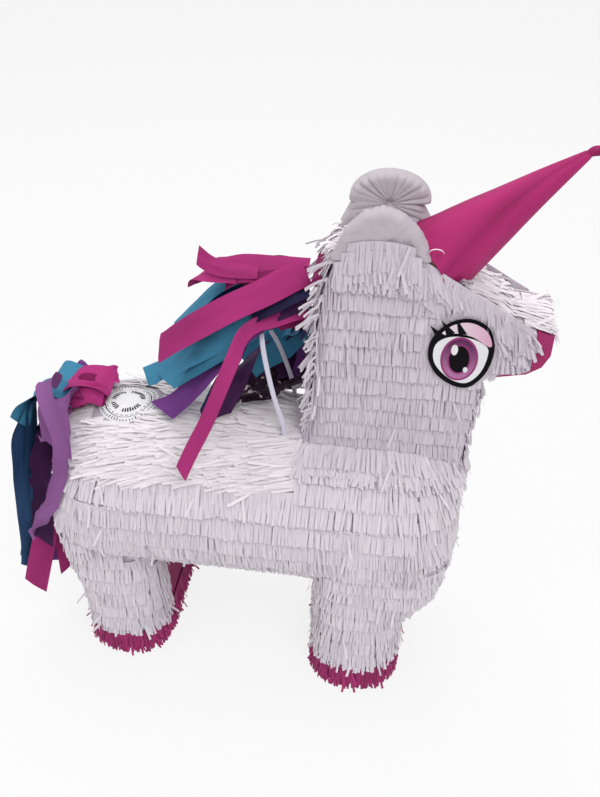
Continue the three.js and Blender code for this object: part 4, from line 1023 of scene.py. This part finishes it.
def sticker():
    """A plain paper label: a dashed ring to cut along, ticks round its rim, and groups of short bars."""
    tree = tree_of("sticker_disc", "sticker_ring")

    def mark(radius_low, radius_high, angle_low, angle_high, vertices, faces, steps=3):
        start = len(vertices)
        hits = []
        for i in range(steps + 1):
            angle = angle_low + (angle_high - angle_low) * i / steps
            for radius in (radius_low, radius_high):
                above = Vector((math.cos(angle) * radius, math.sin(angle) * radius, 0.4)) + STICKER_CENTRE
                hits.append(tree.ray_cast(above, -UP)[0])
        if None in hits:
            return
        vertices += [hit + UP * PRINT_STEP * 2 for hit in hits]
        faces += [(k, k + 2, k + 3, k + 1) for k in range(start, start + 2 * steps, 2)]

    rim_vertices, rim_faces, disc_vertices, disc_faces = [], [], [], []
    for i in range(TICKS):
        angle = 2 * math.pi * i / TICKS
        longer = LONGER if i % 9 < 4 else 0
        mark(TICK_RADII[0] - longer, TICK_RADII[1], angle, angle + 0.035, rim_vertices, rim_faces, 1)
    for i in range(CUT_DASHES):
        angle = 2 * math.pi * i / CUT_DASHES
        mark(CUT_RADIUS - CUT_WIDTH, CUT_RADIUS, angle, angle + 0.13, disc_vertices, disc_faces)
    for start, count in BAR_GROUPS:
        for i in range(count):
            angle = math.radians(start + 9.5 * i)
            longer = LONGER * ((i * 5 + count) % 4) / 3
            mark(BAR_RADII[0] - longer, BAR_RADII[1], angle, angle + 0.1, disc_vertices, disc_faces, 1)
    for made in (mesh_object("sticker_ticks", rim_vertices, rim_faces, print_black),
                 mesh_object("sticker_marks", disc_vertices, disc_faces, print_black, "flap")):
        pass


ear(-1, "ear_wrap_right", 0.476)
ear(1, "ear_wrap_left", 0.486, (0.032, 0.0235))
horn()
horn_foot()
eye(-1, "eye_decal_right")
eye(1, "eye_decal_left")
sticker()

# Streamers


def spread_out(points, count):
    """Evenly spaced points on a centripetal Catmull-Rom curve through the given ones."""
    ends = [points[0] * 2 - points[1], *points, points[-1] * 2 - points[-2]]
    fine = []
    for a, b, c, d in zip(ends, ends[1:], ends[2:], ends[3:]):
        t1 = math.sqrt((b - a).length)
        t2 = t1 + math.sqrt((c - b).length)
        t3 = t2 + math.sqrt((d - c).length)
        for i in range(12):
            t = t1 + (t2 - t1) * i / 12
            ab = a.lerp(b, t / t1)
            bc = b.lerp(c, (t - t1) / (t2 - t1))
            cd = c.lerp(d, (t - t2) / (t3 - t2))
            fine.append(ab.lerp(bc, t / t2).lerp(bc.lerp(cd, (t - t1) / (t3 - t1)), (t - t1) / (t2 - t1)))
    fine.append(points[-1])
    reach = np.cumsum([0.0] + [(b - a).length for a, b in zip(fine, fine[1:])])
    at = np.linspace(0, reach[-1], count)
    table = np.array([list(p) for p in fine])
    even = [Vector(p) for p in zip(*(np.interp(at, reach, table[:, k]) for k in range(3)))]
    return even, float(reach[-1])


STREAMER_ROWS = 48
STREAMER_COLUMNS = 9
STREAMER_CLEAR = 0.0085
TAIL_CLEAR = 0.015
PUSH_SPREAD = 5
PUSH_GAIN = 1.1
FREE_SHARE = 0.2
CUT_SHARE = 0.9
RIPPLE = 0.0021
FINE_RIPPLE = 0.0008
CUP_SHARES = (-0.06, 0.1)
EDGE_WAVE = 0.05
TAIL_ROOT_CRUMPLE = 2.4


def streamer(name, points, how, body, seed, clear, crumple):
    """A crepe strip along a route, pushed clear of the card where it is free."""
    centres, length = spread_out(points, STREAMER_ROWS)
    ways = [Vector(way).normalized() for way in how["lies"]]
    width = how["width"]
    rng = random.Random(seed)
    offset = Vector((rng.uniform(0, 50), rng.uniform(0, 50), 0))
    cup = rng.uniform(*CUP_SHARES) * width
    rows, pushes, tone_and_shade, uv = [], [], [], []
    for r, centre in enumerate(centres):
        share = r / (STREAMER_ROWS - 1)
        along = (centres[min(r + 1, STREAMER_ROWS - 1)] - centres[max(r - 1, 0)]).normalized()
        k, part = divmod(min(share * (len(ways) - 1), len(ways) - 1.0001), 1)
        across = ways[int(k)].lerp(ways[int(k) + 1], part * part * (3 - 2 * part))
        across = (across - along * across.dot(along)).normalized()
        out = along.cross(across)
        row, push = [], Vector((0, 0, 0))
        for c in range(STREAMER_COLUMNS):
            s = 2 * c / (STREAMER_COLUMNS - 1) - 1
            at = offset + Vector((share * length * 24, s * 0.8, 0))
            ripple = noise.noise(at) * RIPPLE + noise.noise(at * 2.7) * FINE_RIPPLE
            slant = how["cut"] * s * width * max(0, (share - CUT_SHARE) / 0.1)
            reach = width / 2 * s * (1 + EDGE_WAVE * noise.noise(at * 0.7 + Vector((0, 0, 5))))
            bowed = out * (cup * (s * s - 0.4) + ripple * crumple)
            point = centre + across * reach + bowed + along * slant
            if share > FREE_SHARE:
                hit, normal, _, _ = all_cards.find_nearest(point)
                short = clear - (point - hit).length
                if short > push.length:
                    push = outward(normal, point - hit) * short
            row.append(point)
            tone_and_shade.append(clamped(0.72 + 0.5 * noise.noise(at * 0.5)))
            uv.append((s * width / 2 / BROAD, share * length / BROAD / 4))
        rows.append(row)
        pushes.append(push * clamped((share - FREE_SHARE) * 8))
    vertices = []
    for r, row in enumerate(rows):
        near = pushes[max(0, r - PUSH_SPREAD):r + PUSH_SPREAD + 1]
        push = sum(near, Vector((0, 0, 0))) * (PUSH_GAIN / len(near))
        vertices += [point + push for point in row]
    faces = grid_faces(STREAMER_ROWS, STREAMER_COLUMNS)
    made = mesh_object(name, vertices, faces, crepes[how["colour"]], body, tone_and_shade=tone_and_shade, uv=uv)
    return made


def route(colour, width, places, lies, cut=0.0, crumple=None):
    """How a streamer runs: through places in hundredths of the spans, its width lying as lies says."""
    shares = [[part / 100 for part in place] for place in places]
    return dict(colour=colour, width=width, shares=shares, lies=lies, cut=cut, crumple=crumple)


# Places in hundredths of the mane's spans: back, left and up
MANE_ROUTES = {
    "mane_streamer_pink_curl": route("magenta", BROAD, [(-2, 8, 88), (12, 8, 87.5), (26, 8, 87),
        (40, 8, 86.5), (53, 10, 85), (62, 12, 84), (68, 14, 81), (69, 16, 75)], [(0, 1, 0.5), (0, 1, 0.6),
        (0, 1, 0.6), (0.3, 0.9, 0.4), (0.8, 0.5, 0.2)]),
    "mane_pink_fold": route("magenta_painted_shade", MIDDLE, [(-1, 0, 87), (13, 0, 86.5), (27, 3, 86), (42, 5, 85),
        (52, 7, 80)], [(0, 1, 0.4), (0.1, 1, 0.2), (0, 1, 0.5)], crumple=1.6),
    "mane_plum_fold": route("plum", NARROW, [(2, 28, 85), (12, 28, 87), (21, 28, 88), (29, 28, 86)],
        [(0, 1, 0), (0.1, 1, 0.1), (0, 1, 0.2)], crumple=1.2),
    "mane_pink_flag": route("magenta", NARROW * 1.1, [(30, 3, 87), (40, 3, 87), (50, 3, 87), (58, 4, 88),
        (64, 5, 90), (69, 6, 93)], [(0, 1, 0.5), (0, 1, 0.8), (0.3, 0.6, 0.9), (0.6, 0.3, 0.7)], cut=0.3),
    "mane_streamer_pink_broad": route("magenta", BROAD * 0.86, [(-1, -4, 91), (10, -10, 87), (26, -15, 80),
        (44, -20, 73), (63, -23, 64), (80, -24, 55), (95, -24, 46)], [(0, 0.6, 1), (0.2, 0.4, 1),
        (0.3, 0.35, 1), (0.3, 0.5, 0.9)], cut=-0.25),
    "mane_streamer_teal_high": route("teal", BROAD, [(5, 26, 83), (25, 28, 82), (41, 28, 80), (55, 28, 74),
        (69, 28, 64), (82, 28, 53), (92, 28, 44)], [(0, 1, 0), (0.2, 1, 0.4), (0.6, 0.5, 0.8)], cut=0.3),
    "mane_blue_high": route("blue", BROAD, [(2, 14, 84), (22, 15, 81), (40, 14, 76), (56, 12, 68),
        (70, 10, 57), (82, 8, 47)], [(0, 1, 0), (0.2, 1, 0.4), (0.4, 0.6, 0.8)]),
    "mane_navy_wedge": route("navy", MIDDLE, [(-3, -7, 84), (6, -10, 81), (15, -10, 76), (24, -9, 71),
        (33, -5, 65)], [(0, 1, 0.4), (0.1, 1, 0.7), (0.3, 0.8, 0.8)], crumple=1.5),
    "mane_plum_wedge": route("plum", MIDDLE, [(-2, -5, 78), (6, -7, 75), (15, -7, 71), (23, -5, 66)],
        [(0, 0.6, 1), (0.1, 0.5, 1), (0.3, 0.6, 0.9)], crumple=1.5),
    "mane_streamer_pink_long": route("magenta", NARROW, [(-3, -7, 71), (9, -11, 68), (20, -15, 65),
        (30, -19, 63), (37, -30, 60), (41, -53, 54), (47, -75, 43), (55, -93, 28), (64, -105, 14),
        (72, -112, 0)], [(-0.2, 0.5, 0.85), (-0.22, 0.5, 0.85), (-0.45, 0.45, 0.75), (-0.77, 0.23, 0.57),
        (-0.85, 0.1, 0.4), (-0.85, 0.1, 0.4), (-0.85, 0.1, 0.4)], cut=-0.4, crumple=0.5),
    "mane_pink_shoulder": route("magenta_painted_shade", NARROW * 0.8, [(-4, 12, 60), (4, 10, 58), (12, 7, 57),
        (18, 5, 55)], [(0, 0.3, 1), (0.1, 0.2, 1), (0.3, 0, 1)]),
}
LOWER_MANE_ROUTES = {
    "mane_teal_right": route("teal", BROAD * 1.2, [(-3, 20, 58), (5, 45, 45), (13, 55, 37), (22, 57, 29),
        (33, 57, 23), (41, 55, 19), (47, 53, 14)], [(0, 0.4, 1), (0.1, 0.3, 1), (0.3, 0.4, 0.9)]),
    "mane_blue_right": route("blue", BROAD, [(-3, 25, 54), (6, 55, 39), (15, 68, 29), (25, 70, 22),
        (37, 68, 17)], [(0, 0.6, 1), (0.1, 0.5, 1), (0.3, 0.5, 0.9)]),
    "mane_streamer_teal_mid": route("teal", BROAD, [(0, 14, 71), (24, 13, 66), (42, 13, 58), (59, 12, 49),
        (74, 12, 39), (90, 12, 28), (104, 12, 19), (115, 12, 14)], [(0, 1, 0.6), (0.2, 0.8, 1),
        (0.2, 0.9, 0.8), (0.3, 1, 0.5)], cut=0.2),
    "mane_blue_mid": route("blue", MIDDLE * 0.7, [(17, 30, 53), (28, 17, 53), (35, 3, 53), (43, -7, 48),
        (50, -12, 42), (59, -15, 35)], [(0.1, 0.4, 1), (0.4, 0.5, 0.9), (0.6, 0.6, 0.6)]),
    "mane_teal_front": route("teal", BROAD * 1.1, [(28, 3, 61), (38, -5, 58), (50, -10, 51), (62, -12, 44),
        (75, -12, 35), (86, -12, 27), (96, -12, 21)], [(0.1, 0.4, 1), (0.2, 0.6, 1), (0.3, 1, 0.5)],
        cut=0.4),
    "mane_streamer_teal_low": route("teal", BROAD, [(2, 20, 58), (7, 38, 50), (16, 68, 38), (29, 84, 22),
        (43, 86, 8), (62, 86, -2)], [(0, 1, 0), (0, 1, -0.5)]),
    "mane_teal_under": route("teal", MIDDLE, [(24, 12, 59), (35, 3, 58), (47, -5, 54), (59, -9, 48),
        (71, -10, 40), (82, -10, 33)], [(0.1, 0.4, 1), (0.2, 0.6, 1), (0.3, 0.9, 0.6)], cut=-0.3),
    "mane_streamer_purple_flat": route("purple", BROAD * 0.9, [(8, 10, 72), (20, 2, 68), (34, -4, 59),
        (50, -8, 46), (66, -16, 30), (80, -22, 17), (90, -26, 10), (98, -28, 7)], [(0.3, 0.5, 1),
        (0.3, 0.5, 1), (0.2, 0.6, 0.8), (0.1, 0.8, 0.6)], cut=0.4),
    "mane_navy_thin": route("navy", NARROW * 0.8, [(39, -15, 49), (46, -20, 40), (54, -25, 30),
        (61, -30, 19), (68, -33, 7)], [(0.6, 0.4, 0.8), (0.9, 0.2, 0.4), (1, 0.1, 0.3)], cut=0.6),
    "mane_plum_mid": route("plum", MIDDLE, [(30, 50, 32), (37, 30, 30), (41, 5, 29), (46, -12, 25),
        (53, -20, 15), (60, -25, 4)], [(0.8, 0.3, 0.6), (0.9, 0.3, 0.4), (1, 0.2, 0.3)], cut=-0.5,
        crumple=1.5),
    "mane_streamer_purple_deep": route("purple", BROAD, [(0, 20, 37), (0, 55, 27), (4, 84, 14),
        (18, 100, 0), (38, 105, -15)], [(0, 1, 0), (1, 0, -0.1)]),
    "mane_purple_band": route("purple", NARROW * 1.6, [(-6, 25, 52), (0, 47, 34), (3, 55, 21), (6, 57, 10),
        (8, 57, 0)], [(1, 0.3, 0.3), (1, 0.2, 0.2), (1, 0.1, 0)]),
    "mane_plum_band": route("plum", BROAD, [(0, 33, 51), (7, 57, 33), (13, 68, 17), (16, 69, 6),
        (19, 69, -3)], [(1, 0.3, 0.3), (1, 0.2, 0.2), (1, 0.1, 0)], crumple=1.5),
    "mane_foil": route("foil", NARROW * 1.2, [(-2, 4, 27), (10, 7, 20), (22, 8, 14), (38, 6, 10),
        (55, 2, 8)], [(0, 1, 0.3), (0.2, 0.9, 0.4), (0.2, 1, 0.2)], crumple=2.8),
    "mane_foil_low": route("foil", BROAD, [(4, 65, 8), (16, 62, 5), (27, 57, 2), (39, 53, 0), (50, 47, -2)],
        [(0, 0.7, 1), (0.2, 0.7, 0.9), (0.2, 0.8, 0.8)], crumple=2.8),
    "mane_foil_back": route("foil", BROAD * 1.2, [(-1, 55, 18), (11, 70, 10), (23, 75, 4), (35, 75, 1),
        (46, 72, -2), (55, 68, -5)], [(0, 0.7, 1), (0.2, 0.7, 0.9), (0.2, 0.7, 0.8)], crumple=2.8),
    "mane_plum_back": route("plum", BROAD * 1.3, [(-1, 50, 31), (10, 68, 20), (23, 72, 12), (35, 72, 7),
        (46, 68, 4)], [(0, 0.8, 1), (0.2, 0.7, 1), (0.2, 0.8, 0.7)], crumple=2),
}
# Places in hundredths of the tail's spans: back and left from its tie, and up from the ground
TAIL_ROUTES = {
    "tail_streamer_teal_loop": route("blue", BROAD * 0.9, [(7, -13, 98), (17, -16, 101.5), (30, -20, 103),
        (48, -30, 100), (60, -40, 92), (66, -46, 80), (70, -50, 64), (78, -54, 42), (86, -57, 25)],
        [(0, 1, 0), (0.1, 1, 0.1), (0.6, 0.9, 0.2), (1, 0.4, 0.1), (0.8, 0.8, 0), (0.7, 0.6, 0)], cut=0.5),
    "tail_teal_top": route("teal", BROAD * 0.85, [(7, -17, 98), (17, -20, 103), (32, -25, 104.5),
        (50, -36, 101), (60, -46, 93)], [(0, 1, 0), (0.2, 1, 0.1), (0.7, 0.8, 0.2)], cut=0.3),
    "tail_blue_loop": route("blue", MIDDLE, [(7, -6, 99), (28, -10, 103), (46, -22, 100), (56, -32, 88),
        (60, -40, 72), (68, -46, 54), (78, -50, 34)], [(0, 1, 0), (0.2, 1, 0.1), (0.8, 0.7, 0.1),
        (1, 0.4, 0)]),
    "tail_streamer_purple_near": route("lilac", NARROW * 1.15, [(20, -14, 105), (22, -26, 109),
        (25, -43, 110), (20, -60, 108), (12, -74, 103), (5, -83, 97), (1, -89, 90), (6, -91, 81),
        (18, -91, 70), (39, -86, 59), (66, -80, 49)], [(0.3, 1, 0), (0.8, 0.5, 0.2), (1, 0.2, 0.3),
        (1, 0.2, -0.1), (0.9, -0.1, 0.1), (0.8, 0.1, 0.5), (0.4, 0.2, 0.8)], cut=0.3, crumple=0.6),
    "tail_purple_square": route("lilac", BROAD, [(5, -18, 98.5), (14, -34, 103), (18, -50, 102),
        (14, -66, 97), (10, -78, 91)], [(0.5, 0.8, 0), (1, 0.3, 0.1), (1, 0.2, 0.2)], cut=0.5, crumple=0.6),
    "tail_navy": route("navy", BROAD, [(5, 2, 97), (27, 3, 96.5), (45, -2, 90), (59, -12, 78),
        (67, -24, 64), (72, -36, 49), (80, -46, 36)], [(0, 1, 0), (0.3, 1, 0), (0.9, 0.5, 0), (1, 0.2, 0)],
        cut=0.3),
    "tail_plum": route("plum", MIDDLE, [(5, 12, 96.5), (30, 14, 94), (46, 4, 80), (55, -12, 64),
        (60, -28, 50), (68, -42, 36), (78, -50, 28)], [(0, 1, 0), (0.5, 1, 0), (1, 0.3, 0)]),
    "tail_plum_front": route("plum", MIDDLE, [(4, -6, 97.5), (22, -14, 96), (32, -30, 86), (36, -48, 72),
        (42, -60, 58), (55, -68, 44)], [(0, 1, 0), (0.6, 0.8, 0), (1, 0.2, 0), (1, 0.2, 0.2)], cut=0.3),
    "tail_streamer_pink_near": route("magenta", BROAD * 0.9, [(4, -2, 96.5), (26, -9, 93), (38, -19, 81),
        (46, -33, 66), (54, -48, 51), (66, -62, 36), (80, -74, 20)], [(0, 1, 0), (0.4, 1, 0), (1, 0.5, 0),
        (1, 0.3, 0.1)], cut=0.3),
    "tail_streamer_pink_flat": route("magenta", BROAD * 1.1, [(3, 20, 96), (28, 22, 90), (38, 14, 74),
        (42, 0, 57), (42, -14, 40), (44, -24, 20)], [(0, 1, 0), (0.4, 1, 0), (0.9, 0.5, 0)], cut=-0.3),
    "tail_streamer_purple_mid": route("purple", BROAD, [(4, 20, 97.5), (36, 24, 92), (50, 16, 72),
        (58, 2, 50), (62, -12, 32), (64, -20, 20)], [(0, 1, 0), (0.5, 1, 0), (1, 0.3, 0)]),
    "tail_streamer_teal_far": route("teal", BROAD, [(5, 25, 100), (37, 40, 100), (55, 52, 89), (66, 50, 66),
        (74, 36, 42), (80, 20, 23)], [(0, 1, 0), (0.3, 1, 0), (0.7, 0.8, 0)]),
    "tail_streamer_purple_far": route("purple", MIDDLE, [(4, 28, 98.5), (24, 55, 98.5), (40, 84, 89.5),
        (50, 97, 70), (55, 100, 49), (60, 100, 29)], [(0, 1, 0), (0.3, 1, 0)]),
    "tail_teal_edge": route("teal", MIDDLE, [(5, 10, 96), (43, 16, 91), (60, 4, 74), (72, -20, 56),
        (80, -44, 40), (86, -60, 29)], [(0, 1, 0), (0.5, 1, 0), (1, 0.4, 0)], cut=0.4),
}
TAIL_ROOT_ROUTES = {
    "tail_root_over": route("magenta", BROAD * 1.2, [(-30, 14, 101.5), (-20, 12, 103.5), (-5, 8, 104.5),
        (10, 5, 103.5), (22, 2, 100), (28, 0, 95)], [(0, 1, 0.2), (0.2, 1, 0), (0, 1, 0.3)]),
    "tail_root_near": route("magenta", MIDDLE, [(-24, -10, 100), (-12, -14, 102), (2, -20, 101),
        (14, -24, 98), (20, -26, 92)], [(0, 1, 0.6), (0.2, 1, 0.6), (0.4, 1, 0.2)]),
    "tail_root_deep": route("magenta_painted_shade", BROAD, [(-26, 2, 99), (-14, 0, 101.2), (0, -4, 101.2),
        (12, -10, 97.5), (18, -16, 91)], [(0, 1, 0.4), (0.2, 1, 0.5), (0.4, 1, 0.2)]),
    "tail_root_fold": route("magenta", BROAD, [(24, 30, 98), (10, 26, 101), (-6, 24, 102), (-20, 30, 100),
        (-28, 34, 97)], [(0, 1, -0.2), (0.2, 1, 0), (0, 1, -0.4)]),
}


def hang(routes, root, span, body, seed, clear=STREAMER_CLEAR, crumple=1.0):
    """A streamer for each route. It replaces the CAD node of that name where there is one."""
    for i, (name, how) in enumerate(routes.items()):
        shares = how["shares"]
        points = [root + Vector((span.x * back, span.y * left, span.z * up)) for back, left, up in shares]
        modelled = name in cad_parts
        made = streamer(f"{name}_crepe" if modelled else name, points, how, body, seed + i, clear,
                        how["crumple"] or crumple)
        if modelled:
            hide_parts(name)


hang(MANE_ROUTES, MANE_ROOT, MANE_SPAN, "mane", 100)
hang(LOWER_MANE_ROUTES, MANE_ROOT, MANE_SPAN, "pinata", 150)
hang(TAIL_ROUTES, TAIL_ROOT, TAIL_SPAN, "tail", 200, TAIL_CLEAR)
hang(TAIL_ROOT_ROUTES, TAIL_ROOT, TAIL_SPAN, "tail", 250, TAIL_CLEAR, TAIL_ROOT_CRUMPLE)

# The glued tissue under the strands: the CAD skins, pressed close to the card

SKINS = ["front_leg_fringe", "rear_leg_fringe", "flank_fringe_right", "flank_fringe_left", "rump_fringe",
         "chest_fringe", "back_fringe", "neck_fringe_right", "neck_fringe_left", "nape_fringe",
         "bridge_fringe", "throat_fringe"]
HOOF_SKINS = ["front_hoof_fringe", "rear_hoof_fringe"]
NODE_MATERIALS = {
    **dict.fromkeys(["front_hoof_sole", "rear_hoof_sole", "belly_lining"], lining_tissue_painted_shade),
    **dict.fromkeys([*BODY_CARDS, *HEAD_CARDS, *LEG_CARDS, "horn_cone", "fill_flap", "loop_patch"], card),
    **dict.fromkeys(["sticker_disc", "sticker_ring"], print_white),
    **dict.fromkeys(["mane_tie", "tail_tie"], crepes["magenta"]),
    "muzzle_cover": muzzle_tissue,
    "hang_loop": strap,
}


def backing(name, mat):
    """A skin's own surface, no further than BACKING from the card that it is glued to."""
    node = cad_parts[name]
    vertices = []
    for vertex in node.data.vertices:
        place = node.matrix_world @ vertex.co
        hit, _, _, _ = all_cards.find_nearest(place)
        away = place - hit
        vertices.append(hit + away.normalized() * BACKING if away.length > BACKING else place)
    faces = [list(face.vertices) for face in node.data.polygons]
    if "neck" in name:
        faces = [face for face in faces if not all(on_muzzle(vertices[i], SKIN_REACH) for i in face)]
    made = mesh_object(f"{name}_tissue", vertices, faces, mat, smooth=False)
    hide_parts(name)


for skin in SKINS:
    backing(skin, top_tissue_painted_light if skin == "bridge_fringe" else under_tissue_painted_shade)
for skin in HOOF_SKINS:
    backing(skin, hoof_under_painted_shade)
for node_name, node_material in NODE_MATERIALS.items():
    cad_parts[node_name].data.materials.clear()
    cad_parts[node_name].data.materials.append(node_material)

# Stage, light and camera


FLOOR_GLOW = 0.82
FLOOR_SIZE = 12
WORLD_LIGHT = 0.5
WORLD_SHOWN = 0.97
LAMP_AIM = Vector((0, 0, 0.25))
LAMPS = {
    "key": ((0.7, -1.1, 2.0), 1.0, 19),
    "fill": ((-1.6, -1.0, 1.2), 1.4, 6),
    "top": ((-0.2, 0.7, 2.0), 1.4, 14),
}


def math_node(tree, operation):
    node = tree.nodes.new("ShaderNodeMath")
    node.operation = operation
    return node


def mixed(tree, share, plain, shown, output):
    """Adds the second shader over the first, by the share."""
    mix = tree.nodes.new("ShaderNodeMixShader")
    tree.links.new(share, mix.inputs["Fac"])
    tree.links.new(plain.outputs[0], mix.inputs[1])
    tree.links.new(shown.outputs[0], mix.inputs[2])
    tree.links.new(mix.outputs[0], tree.nodes[output].inputs["Surface"])


def seen_rays(tree):
    """1 for rays that come from the camera, a mirror or a clear piece, else 0."""
    light_path = tree.nodes.new("ShaderNodeLightPath")
    either, seen = math_node(tree, "MAXIMUM"), math_node(tree, "MAXIMUM")
    wire(light_path, "Is Glossy Ray", either, 0)
    wire(light_path, "Is Transmission Ray", either, 1)
    wire(light_path, "Is Camera Ray", seen, 0)
    wire(either, 0, seen, 1)
    return seen.outputs[0]


def stage():
    bpy.ops.mesh.primitive_plane_add(size=FLOOR_SIZE, location=(0, 0, 0))
    floor = bpy.context.object
    floor.name = "floor"
    mat = material("floor", (0.86, 0.86, 0.87), 0.9, shine=0.5)
    tree = mat.node_tree
    glow = new_node(tree, "ShaderNodeEmission", Color=(1, 1, 1, 1), Strength=1)
    scale = math_node(tree, "MULTIPLY")
    scale.inputs[1].default_value = FLOOR_GLOW
    tree.links.new(seen_rays(tree), scale.inputs[0])
    mixed(tree, scale.outputs[0], principled(mat), glow, "Material Output")
    floor.data.materials.append(mat)

    world = bpy.data.worlds.new("studio")
    bpy.context.scene.world = world
    world.use_nodes = True
    tree = world.node_tree
    plain = tree.nodes["Background"]
    plain.inputs["Color"].default_value = (1, 1, 1, 1)
    plain.inputs["Strength"].default_value = WORLD_LIGHT
    shown = new_node(tree, "ShaderNodeBackground", Color=(1, 1, 1, 1), Strength=WORLD_SHOWN)
    mixed(tree, seen_rays(tree), plain, shown, "World Output")

    for name, (place, size, power) in LAMPS.items():
        data = bpy.data.lights.new(name, "AREA")
        data.size = size
        data.energy = power
        made = bpy.data.objects.new(name, data)
        bpy.context.scene.collection.objects.link(made)
        made.location = place
        made.rotation_euler = (LAMP_AIM - Vector(place)).to_track_quat("-Z", "Y").to_euler()


def camera():
    data = bpy.data.cameras.new("camera")
    data.lens = CAMERA_LENS
    made = bpy.data.objects.new("camera", data)
    bpy.context.scene.collection.objects.link(made)
    made.location = CAMERA_PLACE
    made.rotation_euler = (math.radians(90 - CAMERA_PITCH), 0, math.radians(CAMERA_AZIMUTH))
    bpy.context.scene.camera = made


stage()
camera()
bpy.context.scene.view_settings.view_transform = "Standard"
